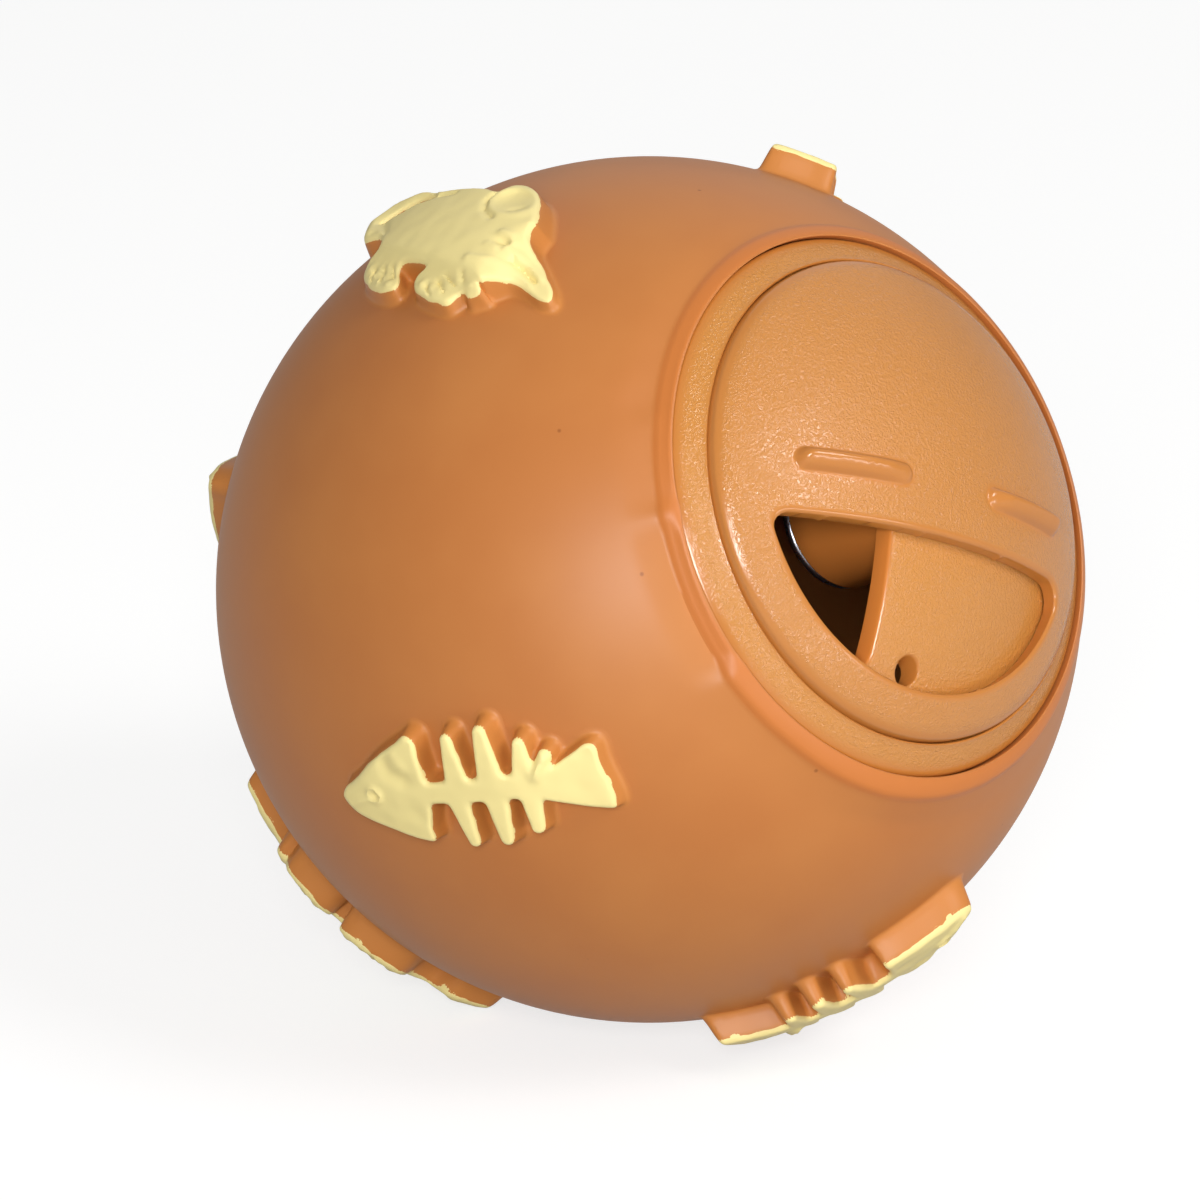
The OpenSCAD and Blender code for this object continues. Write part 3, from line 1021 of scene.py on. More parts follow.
@dataclass
class Figure:
    """One kind of raised figure: its outline, its modelled face and the walls under it."""

    half: tuple[float, float]
    outline: Field
    face: Field
    ball_r: float
    relief_h: float
    drop: Field
    lean: tuple[float, float]
    paint_t: float = 0.13
    step: float = 0.28
    map_step: float = 0.09
    distance: FieldMap = field(init=False)
    ground: Sheet = field(init=False)

    def __post_init__(self) -> None:
        """Samples the outline once and cuts the walls' lines into a sheet."""
        low, high = self._corners(2)
        levels = [level for level, _ in WALL_SECTION]
        self.distance = FieldMap.of(self.outline, low, high, self.map_step)
        self.ground = Sheet.cover(low, high, self.step)
        self.ground.split_all(self.distance, levels)
        self.ground.keep(self._depth, -levels[0])

    def _corners(self, margin: float) -> tuple[tuple[float, float], tuple[float, float]]:
        """The lowest and the highest corner of the figure's plane, with a margin."""
        x, y = self.half[0] + margin, self.half[1] + margin
        return (-x, -y), (x, y)

    def _depth(self, flat: np.ndarray) -> np.ndarray:
        """Distance into the outline."""
        return -self.distance(flat)

    def height(self, flat: np.ndarray, place: Place) -> np.ndarray:
        """Height of the moulded skin above the ball: foot, wall, rounded edge and modelled face.

        Args:
            flat: places in the figure's plane.
            place: where the figure stands, and how far it has sunk.

        Returns:
            The height of each place.
        """
        d = self.distance(flat)
        top = self.relief_h - self.paint_t - place.sag * self.drop(flat)
        front = smooth(9.0, 5.5, flat[:, 0])
        top -= place.buried * front
        stations, shares = zip(*reversed(WALL_SECTION))
        inside = smooth(0.0, -0.7, d)
        return top * np.interp(d, stations, shares) + inside * self.face(flat)

    def leaned(self, flat: np.ndarray, sag: float) -> np.ndarray:
        """Places in the figure's plane, moved aside where the figure sinks."""
        return flat + np.outer(sag * self.drop(flat), self.lean)

    def boss(self, place: Place) -> Surface:
        """The vinyl under the paint, with a foot that runs out into the ball.

        Args:
            place: where the figure stands.

        Returns:
            The outside of the boss.
        """
        flat = self.ground.points
        points = place.points(self.leaned(flat, place.sag), self.ball_r + self.height(flat, place))
        # The share runs to -1 on the walls and their foot, which gives them the vinyl's painted wall
        # glow.
        return Surface(points, [self.ground.tris], -smooth(0.75, 0.3, self.distance(flat)))

    def coat(self, place: Place, turn: float) -> Surface:
        """The paint: a thin film over the face whose edge wanders round the rim and runs in places.

        Args:
            place: where the figure stands.
            turn: shifts the wander, so that no two coats are alike.

        Returns:
            The film as a closed skin.
        """

        def depth(p: np.ndarray) -> np.ndarray:
            """Distance into the coat from its edge.

            Args:
                p: places in the figure's plane.

            Returns:
                The distance, negative where there is no paint.
            """
            wander = 0.045 * ripple(p, 2.6, turn) + 0.02 * ripple(p, 1.1, turn + 2)
            drip = 0.1 * smooth(0.8, 1.25, ripple(p, 3.6, turn + 5))
            return wander + drip - 0.03 - self.distance(p)

        rounding, sunk = 0.2, 0.04
        sheet = Sheet.cover(*self._corners(1), self.step)
        sheet.split_all(depth, (0.0, 0.05, 0.14, 0.3, 0.5))
        sheet.keep(depth)
        flat = sheet.points
        film = self.paint_t * np.sqrt(np.clip(depth(flat) / rounding, 0, 1))
        skin = self.height(flat, place)
        # Painted shade: a share of the greyer cream, most in the face's hollows and creases and none on
        # its ridges.
        crease_shade = np.clip(0.3 - 0.8 * self.face(flat), 0, 1) * smooth(0.2, 0.9, depth(flat))
        aside = self.leaned(flat, place.sag)
        outer = place.points(aside, self.ball_r + skin + film)
        under = place.points(aside, self.ball_r + skin - sunk)
        grain = np.concatenate([crease_shade, crease_shade])
        return Surface(np.concatenate([outer, under]), sheet.closed_faces(), grain)


def stroke(
    p: np.ndarray, path: Sequence[tuple[float, float]], width: float, height: float
) -> np.ndarray:
    """A soft ridge along a path, or a crease where the height is negative.

    Args:
        p: places in the figure's plane.
        path: the path's points.
        width: distance at which the ridge has lost most of its height.
        height: its height.

    Returns:
        The height of each place.
    """
    off = np.full(len(p), 1e9)
    for a, b in zip(path, path[1:]):
        off = np.minimum(off, bar_distance(p, a, b, 0, 0))
    return height * np.exp(-((off / width) ** 2))


def swell(
    p: np.ndarray, centre: tuple[float, float], reach: tuple[float, float], height: float
) -> np.ndarray:
    """A soft round swelling, or a hollow where the height is negative."""
    x, y = (p[:, 0] - centre[0]) / reach[0], (p[:, 1] - centre[1]) / reach[1]
    return height * np.exp(-(x**2) - y**2)


class FishBones:
    """A fish skeleton, nose towards -x: head, backbone, ribs and tail."""

    half = (12.6, 5.6)
    head = (
        (-12.25, -0.4), (-11.4, -1.75), (-8.0, -3.35), (-5.0, -4.45), (-4.15, -4.5), (-3.95, -3.2),
        (-3.35, -1.3), (-3.1, -0.1), (-3.2, 1.3), (-3.35, 3.2), (-3.45, 4.6), (-4.2, 4.95), (-5.1, 4.5),
        (-7.8, 3.1), (-10.6, 1.1), (-11.9, 0.3),
    )
    tail = (
        (6.3, 0.4), (7.9, 0.9), (9.5, 1.6), (11.2, 2.35), (11.85, 2.1), (12.0, 0.3), (12.35, -2.9),
        (12.1, -3.65), (11.0, -3.4), (8.8, -2.6), (6.9, -1.85), (6.2, -1.2),
    )
    # Each rib: its foot on the backbone, its tip, its radius at the foot and at the tip
    ribs = (
        ((-0.3, 0.5), (-0.35, 4.35), 1.15, 0.55), ((2.7, 0.5), (2.75, 4.65), 1.2, 0.6),
        ((5.6, 0.4), (5.85, 3.2), 1.05, 0.6), ((7.0, 0.7), (7.75, 1.9), 0.75, 0.62),
        ((-0.7, -0.8), (-0.5, -4.75), 1.05, 0.55), ((2.7, -1.0), (2.45, -4.85), 1.1, 0.62),
        ((5.7, -1.2), (5.4, -4.15), 1.0, 0.6),
    )
    backbone = ((-4.0, -0.1), (7.5, -0.35), 0.95, 1.15)
    height = 2.65
    lean = (-0.55, -0.39)

    @classmethod
    def outline(cls, p: np.ndarray) -> np.ndarray:
        """Distance to the fish's outline.

        Args:
            p: places in the fish's plane.

        Returns:
            The distance of each place, negative inside.
        """
        out = loop_distance(p, loop_through(cls.head))
        out = soft_union(out, loop_distance(p, loop_through(cls.tail)), 0.5)
        for bar in (cls.backbone, *cls.ribs):
            out = soft_union(out, bar_distance(p, *bar), 0.55)
        return out

    @staticmethod
    def face(p: np.ndarray) -> np.ndarray:
        """Height of the modelled face: snout, eye, gill and the lump at the tail.

        Args:
            p: places in the fish's plane.

        Returns:
            The height of each place over the even face.
        """
        ring = np.hypot(p[:, 0] + 8.5, p[:, 1])
        out = 0.2 * np.exp(-(((ring - 0.62) / 0.2) ** 2)) - 0.16 * np.exp(-((ring / 0.34) ** 2))
        out += stroke(p, [(-11.4, -0.9), (-9.5, -0.35)], 0.34, 0.24)
        out += stroke(p, [(-6.9, 3.4), (-6.5, 1.9), (-5.3, 1.3)], 0.7, -0.26)
        out += stroke(p, [(-5.9, 3.9), (-5.0, 2.4)], 0.55, 0.1)
        out += swell(p, (-4.7, -1.8), (0.9, 0.7), -0.12)
        out += stroke(p, [(6.7, 0.6), (8.0, 2.1)], 0.5, 0.4)
        out += swell(p, (-8.2, 0.6), (3.2, 2.4), 0.16)
        return out + 0.03 * ripple(p, 2.2, 1.1)

    @staticmethod
    def drop(p: np.ndarray) -> np.ndarray:
        """How far the casting sinks: a little everywhere and most at the tail."""
        return 0.45 + 0.85 * smooth(3.0, 11.5, p[:, 0])


class RunningMouse:
    """A mouse, nose towards +x, with its tail laid over its back."""

    half = (14.9, 7.8)
    body = (
        (-7.45, -3.2), (-7.6, -4.3), (-7.25, -5.5), (-6.3, -6.3), (-3.9, -7.25), (-1.7, -7.45),
        (-0.7, -7.0), (-0.85, -6.2), (-2.3, -4.75), (-2.35, -4.25), (0.8, -4.2), (0.75, -5.4),
        (1.6, -6.55), (3.5, -7.1), (5.2, -7.15), (6.2, -6.9), (6.7, -6.1), (7.0, -5.55),
        (7.9, -5.75), (8.4, -5.1), (8.0, -4.4), (7.3, -3.85), (9.7, -2.95), (12.0, -3.0),
        (14.0, -3.2), (14.7, -2.85), (14.3, -2.05), (11.8, -0.4), (9.5, 0.8), (7.5, 2.1),
        (6.35, 4.15), (4.8, 5.95), (3.1, 7.1), (1.3, 7.55), (0.1, 7.1), (-0.5, 5.9),
        (-2.3, 5.9), (-5.9, 5.35), (-7.9, 4.75), (-10.2, 4.85), (-12.4, 3.8), (-14.1, 1.9),
        (-14.4, 0.6), (-13.2, -0.7), (-11.3, -2.0), (-9.0, -1.65),
    )
    gap = (
        (-12.0, 0.6), (-11.4, 0.35), (-10.0, 1.6), (-8.9, 3.0), (-7.5, 4.0), (-7.9, 4.15), (-9.6, 3.6),
        (-11.2, 2.1),
    )
    creases = (
        ((2.8, -6.0), (4.1, -6.9)), ((3.6, -5.2), (5.2, -6.1)), ((3.8, -4.4), (5.8, -5.2)),
        ((5.0, -3.6), (6.2, -4.6)), ((-5.6, -5.2), (-4.4, -7.0)), ((-4.4, -4.9), (-3.0, -6.7)),
        ((-3.4, -4.7), (-1.9, -6.0)),
    )
    toes = (
        (2.4, -6.1), (3.6, -6.3), (4.9, -5.9), (5.6, -5.1), (7.3, -4.9), (-6.2, -5.3), (-4.8, -6.1),
        (-3.2, -6.4), (-1.8, -6.8),
    )
    height = 2.7
    lean = (-1.41, 0.71)

    @classmethod
    def outline(cls, p: np.ndarray) -> np.ndarray:
        """Distance to the mouse's outline, negative inside."""
        out = loop_distance(p, loop_through(cls.body))
        return np.maximum(out, -loop_distance(p, loop_through(cls.gap)))

    @staticmethod
    def drop(p: np.ndarray) -> np.ndarray:
        """How far the casting sinks: at the feet, towards the nose and behind the ear.

        Args:
            p: places in the mouse's plane.

        Returns:
            The drop of each place.
        """
        feet = 1.35 * smooth(-2.6, -6.0, p[:, 1])
        nose = 1.75 * smooth(5.5, 12.5, p[:, 0])
        ear = 0.5 * smooth(2.5, 6.5, p[:, 1]) * smooth(-1.0, 2.0, p[:, 0])
        return np.maximum(np.maximum(feet, nose), ear)

    @classmethod
    def face(cls, p: np.ndarray) -> np.ndarray:
        """Height of the modelled face: body, ear, eye, snout, paws with toes, and tail.

        Args:
            p: places in the mouse's plane.

        Returns:
            The height of each place over the even face.
        """
        out = swell(p, (-4.6, 0.2), (4.6, 3.6), 0.1) + swell(p, (3.4, -0.6), (3.6, 3.2), 0.14)
        ear = np.hypot((p[:, 0] - 2.7) / 1.2, (p[:, 1] - 5.0) / 0.9)
        out += 0.15 * np.exp(-(((ear - 2.1) / 0.45) ** 2)) - 0.2 * np.exp(-((ear / 1.2) ** 2))
        out += stroke(p, [(3.3, 4.0), (4.1, 4.6)], 0.3, -0.14)
        out += stroke(p, [(-0.4, 5.6), (-0.2, 4.3), (0.9, 3.1), (2.4, 2.5)], 0.3, -0.3)
        brow = stroke(p, [(5.2, 1.3), (6.3, 1.3), (7.3, 0.6)], 0.34, 0.2)
        out += swell(p, (6.1, 0.5), (0.8, 0.42), -0.42) + brow
        out += stroke(p, [(5.0, -0.4), (6.2, -0.35)], 0.3, 0.14)
        out += stroke(p, [(4.6, -2.3), (6.9, -1.7), (9.2, -1.9), (12.2, -2.6)], 0.4, 0.24)
        out += stroke(p, [(7.2, -0.1), (10.3, -0.75), (12.6, -1.4)], 0.42, 0.3)
        out += stroke(p, [(8.6, -0.9), (10.4, -1.35), (12.4, -2.0)], 0.2, -0.4)
        for crease in cls.creases:
            out += stroke(p, crease, 0.17, -0.3)
        for toe in cls.toes:
            out += swell(p, toe, (0.5, 0.55), 0.2)
        tail = [(-11.6, -1.2), (-13.2, 0.7), (-12.4, 2.9), (-10.2, 4.2), (-7.6, 4.6)]
        out += stroke(p, tail, 0.6, 0.25)
        out += stroke(p, [(-8.4, 3.4), (-6.6, 4.1), (-5.2, 4.6)], 0.3, -0.25)
        out += stroke(p, [(-10.9, 0.2), (-9.4, -0.6), (-8.6, -1.4)], 0.4, -0.2)
        return out + 0.025 * ripple(p, 2.6, 0.3)


@dataclass(frozen=True)
class Opening:
    """The opening that lid and dial share: a round side, a straight one and rounded corners."""

    round_r: float = 17.0
    straight: float = 5.0
    corner: float = 1.6
    far_corner: float = 1.6

    def distance(self, points: np.ndarray, direction: float) -> np.ndarray:
        """Distance to the opening's edge, negative inside it.

        Args:
            points: places across the lid's axis.
            direction: angle round the axis that the opening's round side faces, in degrees.

        Returns:
            The distances.
        """
        facing = heading(direction)
        along = points @ facing
        across = points @ np.array([-facing[1], facing[0]])
        corner = np.where(across > 0, self.far_corner, self.corner)
        out = off_axis(points) - self.round_r + corner
        down = self.straight + corner - along
        beyond = np.hypot(np.maximum(out, 0), np.maximum(down, 0))
        return beyond + np.minimum(np.maximum(out, down), 0) - corner


@dataclass
class Lid:
    """The snapped in lid: outer ring, plate with its opening, skirt, snap bead and hub."""

    ring_r: float
    face_r: float = 37.3
    recess_r: float = 20.52
    plate_face_r: float = 36.5
    plate_back_r: float = 34.7
    seat_z: float = 27.565
    skirt_r: float = 21.1
    skirt_t: float = 1.5
    bead_z: float = 24.545
    hub_r: float = 5.9
    hub_bore_r: float = 3.48
    hub_end: float = 24.3
    opening_at: float = 154.0
    vent_r: float = 1.1
    vent_off: float = 15.4
    vent_at: float = 240.0
    edge_round: float = 0.34
    vent_round: float = 0.25
    step: float = 0.42
    opening: Opening = Opening()

    def ring(self) -> Surface:
        """The ring with its rounded outer edge, and the skirt and bead under it.

        Returns:
            The closed skin of all three.
        """
        rounding = 0.8
        middle_r = self.ring_r - rounding
        middle_z = math.sqrt((self.face_r - rounding) ** 2 - middle_r**2)
        tilt = math.degrees(math.atan2(middle_z, middle_r))
        skirt, skirt_in = self.skirt_r, self.skirt_r - self.skirt_t
        bead, seat, ring = self.bead_z, self.seat_z, self.ring_r
        profile = [
            (skirt_in, bead + 0.15), (skirt_in + 0.15, bead), (skirt - 0.1, bead), (skirt, bead),
            (skirt + 0.85, bead + 0.42), (skirt + 1.0, bead + 0.6), (skirt + 0.95, bead + 0.9),
            (skirt + 0.8, bead + 1.0), (skirt, bead + 1.0), (skirt, seat),
            (ring - 0.3, seat), (ring - 0.08, seat + 0.08), (ring, seat + 0.3),
        ]
        profile += arc((middle_r, middle_z), rounding, 0, tilt, 9)
        edge = self.recess_r
        face = np.linspace(22.0, edge + 0.45, 5)
        profile += [(x, math.sqrt(self.face_r**2 - x * x)) for x in face]
        edge_z = math.sqrt(self.face_r**2 - edge * edge)
        profile += [
            (edge + 0.2, edge_z - 0.02), (edge + 0.06, edge_z - 0.09), (edge, edge_z - 0.22),
            (edge, 29.9), (edge, 28.6), (skirt_in, 28.5), (skirt_in, 27.4),
        ]
        out = revolved(profile, closed=True)
        radius = np.hypot(out.points[:, 0], out.points[:, 1])
        above = out.points[:, 2] > 27.6
        # No grain on the ring's rounded outer edge and next to the recess, where it takes the polished
        # colour: painted shade.
        grainy = smooth(22.4, 22.2, radius) * smooth(20.6, 20.85, radius)
        out.grain = np.where(above & (radius > self.recess_r + 0.02), grainy, 0.6)
        out.grain[~above] = 0.5
        return out

    def plate(self) -> Surface:
        """The plate behind the dial, pierced by the opening and the vent.

        Returns:
            The closed skin of the plate.
        """
        vent_centre = self.vent_off * heading(self.vent_at)
        reach = self.recess_r + 0.2

        def wall(p: np.ndarray) -> np.ndarray:
            """Distance into the plate from its opening."""
            return self.opening.distance(p, self.opening_at)

        def vent_wall(p: np.ndarray) -> np.ndarray:
            """Distance into the plate from its vent."""
            return off_axis(p - vent_centre) - self.vent_r

        def between(p: np.ndarray) -> np.ndarray:
            """Distance into the plate from its outer edge or the hub's bore."""
            return np.minimum(reach - off_axis(p), off_axis(p) - self.hub_bore_r)

        sheet = Sheet.cover((-reach, -reach), (reach, reach), self.step)
        sheet.split_all(wall, (0.0, 0.08, 0.2, 0.34))
        sheet.split_all(vent_wall, (0.0, 0.1, 0.25))
        sheet.split_all(off_axis, (reach, self.hub_bore_r))
        sheet.keep(wall)
        sheet.keep(vent_wall)
        sheet.keep(between)
        p = sheet.points
        inward, off_vent = wall(p), vent_wall(p)
        drop = round_over(inward, self.edge_round) + round_over(off_vent, self.vent_round)
        top = dome_height(self.plate_face_r, p) - drop
        # Round the opening and the vent the plate is polished and takes painted shade; on the opening's
        # cut edge the share falls below 0, which gives painted glow.
        grain = smooth(0.1, 0.45, inward) * smooth(0.05, 0.3, off_vent) - smooth(0.2, 0.0, inward)
        return sheet.slab(top, dome_height(self.plate_back_r, p), grain)

    def hub(self) -> Surface:
        """The tube in which the dial's post turns.

        Returns:
            The closed skin of the tube.
        """
        bore, out, end = self.hub_bore_r, self.hub_r, self.hub_end
        top = math.sqrt(self.plate_back_r**2 - out**2) + 0.6
        foot = out + 0.5
        profile = [
            (bore + 0.15, end), (out - 0.35, end), (out - 0.1, end + 0.1), (out, end + 0.35),
            (out, top - 1.1), (out + 0.12, top - 0.8), (foot, top - 0.45), (foot, top),
            (bore, top), (bore, end + 0.15),
        ]
        # A share of -1 gives the whole hub the painted glow colour.
        return revolved(profile, segments=144, closed=True, grain=-1.0)

    def build(self, shop: Workshop) -> None:
        """Makes the lid."""
        surface = Surface.joined([self.ring(), self.plate(), self.hub()])
        shop.piece("lid_plastic", surface, Finish.LID, "lid", "lid")


# Section of the dial's rounded edge: distance in from the edge, and drop under the dome there
EDGE_SECTION = ((0.0, 0.42), (0.1, 0.3), (0.25, 0.2), (0.5, 0.1), (0.8, 0.03), (1.1, 0.0))

# Section of a finger rib: distance out of its foot line, and share of its full height there
RIB_SECTION = (
    (0.24, 0.0), (0.12, 0.03), (0.05, 0.1), (-0.02, 0.26), (-0.12, 0.52), (-0.25, 0.76),
    (-0.4, 0.9), (-0.6, 0.97), (-0.76, 0.995), (-0.9, 1.0),
)


@dataclass
class Dial:
    """The turning dial: domed plate with its window, two finger ribs and the post."""

    radius: float
    face_r: float = 37.9
    back_r: float = 36.62
    window_round: float = 0.45
    window_at: float = 244.0
    rib_in: float = 4.3
    rib_len: float = 10.3
    rib_w: float = 1.8
    rib_h: float = 1.25
    rib_shift: float = 0.5
    post_r: float = 3.4
    post_bore_r: float = 1.3
    post_end: float = 24.18
    step: float = 0.42
    window: Opening = Opening(corner=1.5, far_corner=2.6)

    def plate(self) -> Surface:
        """The domed plate with its ribs.

        Returns:
            The closed skin of the plate.
        """
        along = heading(self.window_at - 90)
        across = np.array([-along[1], along[0]])
        aside = self.rib_shift * across
        half_w = self.rib_w / 2
        near, far = self.rib_in + half_w, self.rib_in + self.rib_len - half_w

        def edge(p: np.ndarray) -> np.ndarray:
            """Distance in from the dial's edge."""
            return self.radius - off_axis(p)

        def wall(p: np.ndarray) -> np.ndarray:
            """Distance into the plate from its window."""
            return self.window.distance(p, self.window_at)

        def rib(p: np.ndarray) -> np.ndarray:
            """Distance from the nearer rib, negative on it."""
            return np.minimum(
                bar_distance(p, aside + along * near, aside + along * far, half_w, half_w),
                bar_distance(p, aside - along * near, aside - along * far, half_w, half_w),
            )

        stations, drops = zip(*EDGE_SECTION)
        reach = self.radius + 0.5
        sheet = Sheet.cover((-reach, -reach), (reach, reach), self.step)
        sheet.split_all(edge, stations)
        sheet.split_all(wall, (0.0, 0.04, 0.12, 0.22, 0.34, 0.46, 0.7))
        sheet.split_all(rib, [level for level, _ in RIB_SECTION[:-1]])
        sheet.keep(edge)
        sheet.keep(wall)
        p = sheet.points
        bevel = np.interp(edge(p), stations, drops)
        top = dome_height(self.face_r, p) - bevel - round_over(wall(p), self.window_round)
        side, outward = p @ across - self.rib_shift, np.abs(p @ along) - self.rib_in
        lean = np.interp(side, [-0.5, -0.2, 0.3, 0.9], [1.0, 0.97, 0.74, 0.46])
        ramp = np.interp(outward, [0, 0.9, 2.4, 4.6, 9.2], [0.3, 0.46, 0.78, 0.92, 1.0])
        top += self._rib_height(rib(p)) * lean * ramp
        # The polished bevel, window edges and ribs take the painted shade colour.
        grain = smooth(0.3, 0.6, edge(p)) * smooth(0.42, 0.7, wall(p)) * smooth(0.15, 0.4, rib(p))
        return sheet.slab(top, dome_height(self.back_r, p), grain)

    def _rib_height(self, d: np.ndarray) -> np.ndarray:
        """Height of a rib at a distance from its foot line: a steep side and a rounded crest."""
        stations, shares = zip(*reversed(RIB_SECTION))
        return self.rib_h * np.interp(d, stations, shares)

    def post(self) -> Surface:
        """The post that turns in the lid's hub.

        Returns:
            The closed skin of the post.
        """
        bore, out, end, top = self.post_bore_r, self.post_r, self.post_end, self.back_r + 0.5
        profile = [(bore, end), (out - 0.25, end), (out, end + 0.25), (out, top), (bore, top)]
        return revolved(profile, segments=96, closed=True)

    def build(self, shop: Workshop) -> None:
        """Makes the dial."""
        surface = Surface.joined([self.plate(), self.post()])
        shop.piece("dial_plastic", surface, Finish.DIAL, "dial", "dial")


@dataclass
class HubScrew:
    """The round headed screw and its washer, which hold the dial's post in the hub."""

    head_r: float
    washer_r: float
    head_h: float = 3.4
    washer_t: float = 0.8
    top_z: float = 24.18
    shank_r: float = 1.5
    shank_len: float = 10.0
    cross_len: float = 4.4
    cross_w: float = 1.0
    cross_depth: float = 1.8
    brim: float = 0.75
    step: float = 0.22
    core_r: float = 1.15
    pitch: float = 1.0
    turns: int = 8

    @property
    def under(self) -> float:
        """Height of the washer's lower side, where the head starts."""
        return self.top_z - self.washer_t

    def head(self) -> Surface:
        """The domed head with its cross.

        Returns:
            The closed skin of the head.
        """
        rise = self.head_h - self.brim
        dome_r = (self.head_r**2 + rise**2) / (2 * rise)

        def edge(p: np.ndarray) -> np.ndarray:
            """Distance in from the head's edge."""
            return self.head_r - off_axis(p)

        def cross(p: np.ndarray) -> np.ndarray:
            """Distance from the cross.

            Args:
                p: places across the lid's axis.

            Returns:
                The distance of each place, negative in the cross.
            """
            x, y = np.abs(p[:, 0]), np.abs(p[:, 1])
            half_len, half_w = self.cross_len / 2, self.cross_w / 2
            one = np.maximum(x - half_len, y - half_w)
            other = np.maximum(y - half_len, x - half_w)
            return np.minimum(one, other)

        reach = self.head_r + 0.3
        sheet = Sheet.cover((-reach, -reach), (reach, reach), self.step)
        sheet.split_all(edge, (0.0, 0.04, 0.1, 0.2, 0.34))
        sheet.split_all(cross, (0.08, 0.0, -0.05))
        sheet.keep(edge)
        p = sheet.points
        dome = np.sqrt(np.maximum(dome_r**2 - off_axis(p) ** 2, 0)) - (dome_r - rise)
        depth = np.interp(cross(p), [-0.05, 0.0, 0.08], [self.cross_depth, 0.2, 0.0])
        rounded = round_over(edge(p), 0.35) * 0.8
        low = self.under - self.brim - np.maximum(dome, 0) + rounded + depth
        return sheet.slab(np.full(len(p), self.under), low, np.zeros(len(p)))

    def shank(self) -> Surface:
        """The shank with its thread, inside the dial's post.

        Returns:
            The skin of the shank.
        """
        axis, end, foot = 0.001, self.under + self.shank_len, self.under - 0.2
        profile = [(axis, end), (0.4, end - 0.1)]
        for k in range(self.turns):
            z = end - 1.4 - k * self.pitch
            profile += [(self.core_r, z + 0.35), (self.shank_r, z), (self.core_r, z - 0.35)]
        profile += [(self.core_r, foot), (axis, foot)]
        return revolved(profile[::-1], segments=48)

    def washer(self) -> Surface:
        """The flat washer, its edges broken.

        Returns:
            The closed skin of the washer.
        """
        low, top, bore, r = self.under, self.top_z, self.shank_r + 0.1, self.washer_r
        profile = [
            (bore, low), (r - 0.3, low), (r - 0.1, low + 0.1), (r, low + 0.3), (r - 0.02, top - 0.3),
            (r - 0.12, top - 0.12), (r - 0.3, top - 0.02), (r - 0.5, top), (bore, top),
        ]
        return revolved(profile, segments=128, closed=True)

    def build(self, shop: Workshop) -> None:
        """Makes the screw and the washer.

        Args:
            shop: makes the pieces.
        """
        screw = Surface.joined([self.head(), self.shank()])
        shop.piece("nickel_screw", screw, Finish.NICKEL, "dial", "hub_screw")
        shop.piece("zinc_washer", self.washer(), Finish.ZINC, "dial", "hub_washer")


@dataclass
class Body:
    """The vinyl ball with all its figures and their coats of paint."""

    ball: Ball
    fish_places: tuple[Place, ...] = (
        Place(75, 48.45, 55, 0.0, 2.1), Place(75, 195, 73.5, 1.0), Place(76, 267, -119),
        Place(147, 120, 236), Place(143, 312, 51),
    )
    mouse_places: tuple[Place, ...] = (
        Place(72.7, 119, 71.4, 1.0), Place(92, 342, 255), Place(139, 224, 218), Place(141, 35, 40),
    )
    coat_turn: float = 0.9

    def build(self, shop: Workshop) -> None:
        """Makes the body and the coats.

        Args:
            shop: makes the pieces.
        """
        parts = [self.ball.surface()]
        kinds = (("fish", FishBones, self.fish_places), ("mouse", RunningMouse, self.mouse_places))
        for kind, shape, places in kinds:
            figure = Figure(
                half=shape.half,
                outline=shape.outline,
                face=shape.face,
                ball_r=self.ball.radius,
                relief_h=shape.height,
                drop=shape.drop,
                lean=shape.lean,
            )
            for number, place in enumerate(places, 1):
                parts.append(figure.boss(place))
                coat = figure.coat(place, self.coat_turn * number)
                name, node = f"{kind}_coat_{number}", f"{kind}_paint_{number}"
                shop.piece(name, coat, Finish.PAINT, "ball", node)
        body = Surface.joined(parts)
        shop.piece("vinyl_body", body, Finish.VINYL, "ball", "ball_shell")


@dataclass(frozen=True)
class Lamp:
    """A square soft lamp.

    Its direction from the ball is given as right, up and back in the camera's directions.
    """

    name: str
    toward: tuple[float, float, float]
    away_mm: float
    size_mm: float
    watts: float


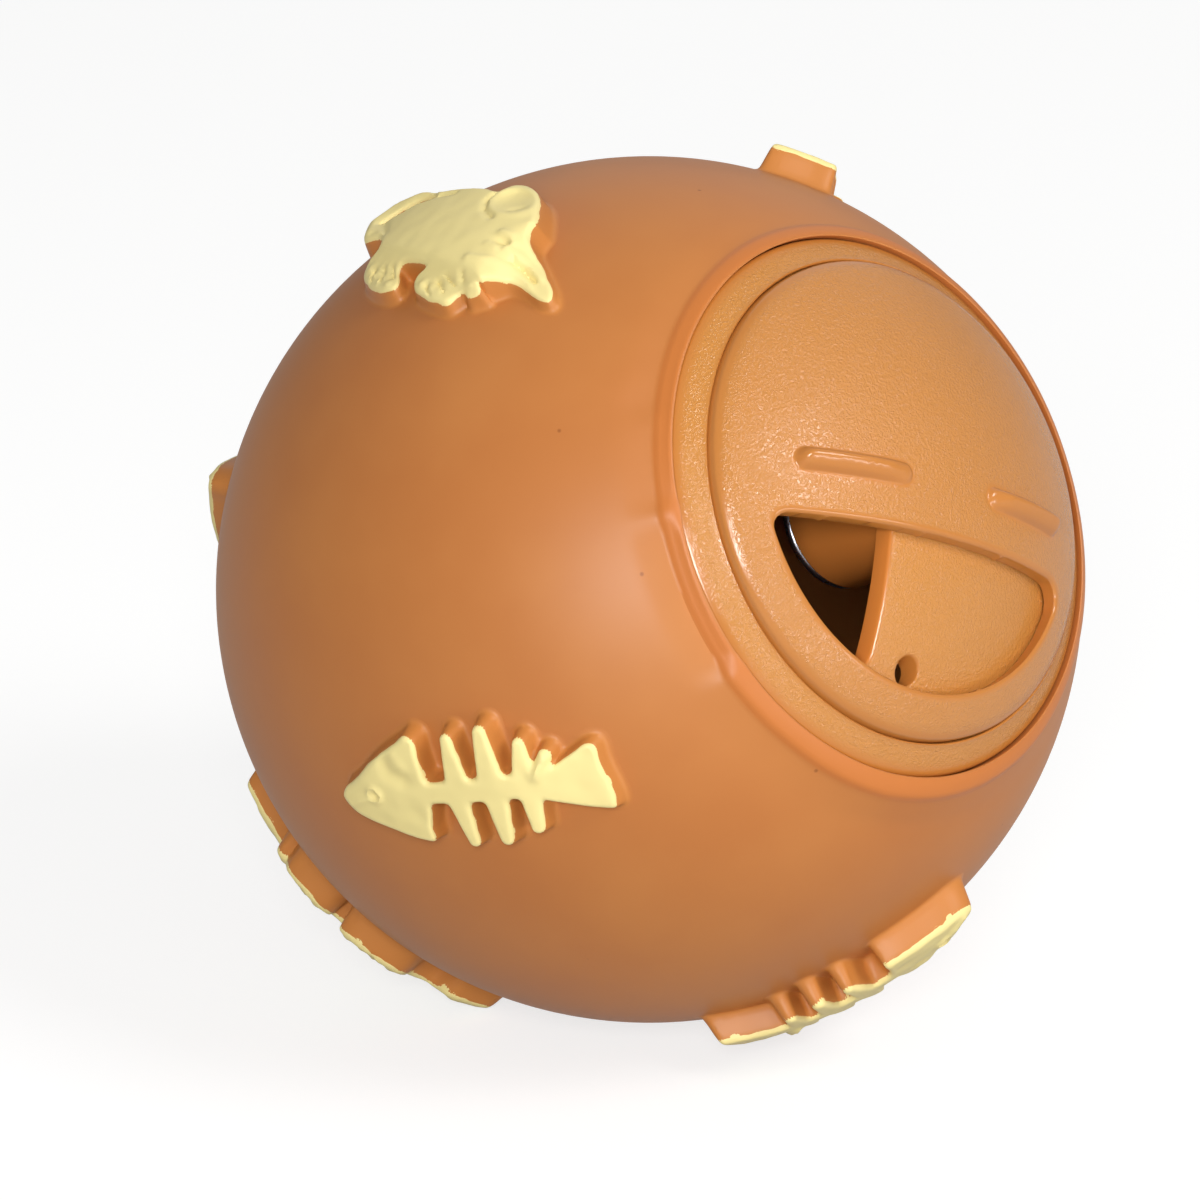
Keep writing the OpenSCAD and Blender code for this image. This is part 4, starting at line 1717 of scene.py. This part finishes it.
@dataclass(frozen=True)
class Studio:
    """Camera, lamps and floor. Places round the ball are given in the camera's own directions."""

    centre: Vector
    azimuth: float = -46.959
    elevation: float = 19.945
    distance_mm: float = 449.98
    right_mm: float = 4.25
    up_mm: float = 0.91
    lens: float = 155.47
    floor_colour: str = "#A2A2A1"
    floor_seen: float = 0.72
    floor_mirrored: float = 0.36
    sky_strength: float = 0.283
    lamps: tuple[Lamp, ...] = (
        Lamp("key", (-0.065, 0.044, 0.997), 700, 200, 3.0),
        Lamp("right_high", (0.61, 0.495, 0.62), 800, 300, 2.75),
        Lamp("right_low", (0.63, -0.4, 0.53), 800, 500, 5.6),
        Lamp("back_top", (0.1, 0.8, -0.6), 800, 700, 0.66),
    )

    def axes(self) -> tuple[Vector, Vector, Vector]:
        """The camera's own directions.

        Returns:
            Right, up and backward.
        """
        a, e = math.radians(self.azimuth), math.radians(self.elevation)
        back = Vector((math.sin(a) * math.cos(e), -math.cos(a) * math.cos(e), math.sin(e)))
        right = Vector((0, 0, 1)).cross(back).normalized()
        return right, back.cross(right), back

    def camera(self) -> None:
        """Makes the camera."""
        right, up, back = self.axes()
        data = bpy.data.cameras.new("camera")
        data.lens = self.lens
        data.sensor_width = 36.0
        data.clip_start = 0.01
        new = bpy.data.objects.new("camera", data)
        offset = back * self.distance_mm - right * self.right_mm - up * self.up_mm
        turned = Matrix((right, up, back)).transposed().to_4x4()
        new.matrix_world = Matrix.Translation(self.centre + offset * MM) @ turned
        bpy.context.scene.collection.objects.link(new)
        bpy.context.scene.camera = new

    def hang(self, lamp: Lamp) -> None:
        """Hangs a lamp that faces the ball.

        Args:
            lamp: the lamp.
        """
        right, up, back = self.axes()
        x, y, z = lamp.toward
        direction = (right * x + up * y + back * z).normalized()
        data = bpy.data.lights.new(lamp.name, "AREA")
        data.energy = lamp.watts
        data.size = lamp.size_mm * MM
        new = bpy.data.objects.new(lamp.name, data)
        new.location = self.centre + direction * lamp.away_mm * MM
        new.rotation_mode = "QUATERNION"
        new.rotation_quaternion = direction.to_track_quat("Z", "Y")
        bpy.context.scene.collection.objects.link(new)

    def floor(self) -> None:
        """Lays a plain pale floor, which the camera and mirrored rays see brighter than it is lit."""
        reach = 6.0
        corners = [(-reach, -reach, 0), (reach, -reach, 0), (reach, reach, 0), (-reach, reach, 0)]
        mesh = bpy.data.meshes.new("floor")
        mesh.from_pydata(corners, [], [(0, 1, 2, 3)])
        material, tree, shader = blank_material("floor_paper")
        shader.inputs["Base Color"].default_value = linear(self.floor_colour)
        shader.inputs["Roughness"].default_value = 0.9
        ray = add(tree, "LightPath").outputs
        seen = add(tree, "MapRange", {"To Max": self.floor_seen}, {"Value": ray["Is Camera Ray"]})
        bounces = {0: ray["Is Glossy Ray"], 1: ray["Is Transmission Ray"]}
        bent = add(tree, "Math", {"operation": "MAXIMUM"}, bounces)
        share = {"To Max": self.floor_mirrored}
        mirrored = add(tree, "MapRange", share, {"Value": bent.outputs[0]})
        both = {0: seen.outputs[0], 1: mirrored.outputs[0]}
        level = add(tree, "Math", {"operation": "MAXIMUM"}, both)
        tree.links.new(level.outputs[0], shader.inputs["Emission Strength"])
        shader.inputs["Emission Color"].default_value = (1, 1, 1, 1)
        mesh.materials.append(material)
        new = bpy.data.objects.new("floor", mesh)
        bpy.context.scene.collection.objects.link(new)

    def sky(self) -> None:
        """Sets an even white surrounding."""
        world = bpy.data.worlds.new("studio")
        world.use_nodes = True
        background = world.node_tree.nodes["Background"]
        background.inputs["Strength"].default_value = self.sky_strength
        background.inputs["Color"].default_value = (1, 1, 1, 1)
        bpy.context.scene.world = world

    def build(self) -> None:
        """Makes the whole studio."""
        self.camera()
        self.floor()
        self.sky()
        for lamp in self.lamps:
            self.hang(lamp)
        bpy.context.scene.view_settings.view_transform = "Standard"
        log.info("studio: camera, floor and %d lamps", len(self.lamps))


def width(node: str) -> float:
    """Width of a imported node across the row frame, in millimetres."""
    low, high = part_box(node)
    return (high.x - low.x) / MM


def main() -> None:
    """Builds the object and the studio."""
    logging.basicConfig(level=logging.INFO, format="%(name)s %(message)s")
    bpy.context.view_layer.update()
    turn = next(j for j in frame["joints"] if j["name"] == "lid_turn")
    shop = Workshop(LidFrame(Vector(turn["pos_m"]), Vector(turn["axis"])))
    ball_r = turn["pos_m"][2] / MM
    Studio(Vector(turn["pos_m"])).build()
    Body(Ball(ball_r)).build(shop)
    Lid(width("lid") / 2).build(shop)
    Dial(width("dial") / 2).build(shop)
    HubScrew(width("hub_screw") / 2, width("hub_washer") / 2).build(shop)


if __name__ == "__main__":
    main()
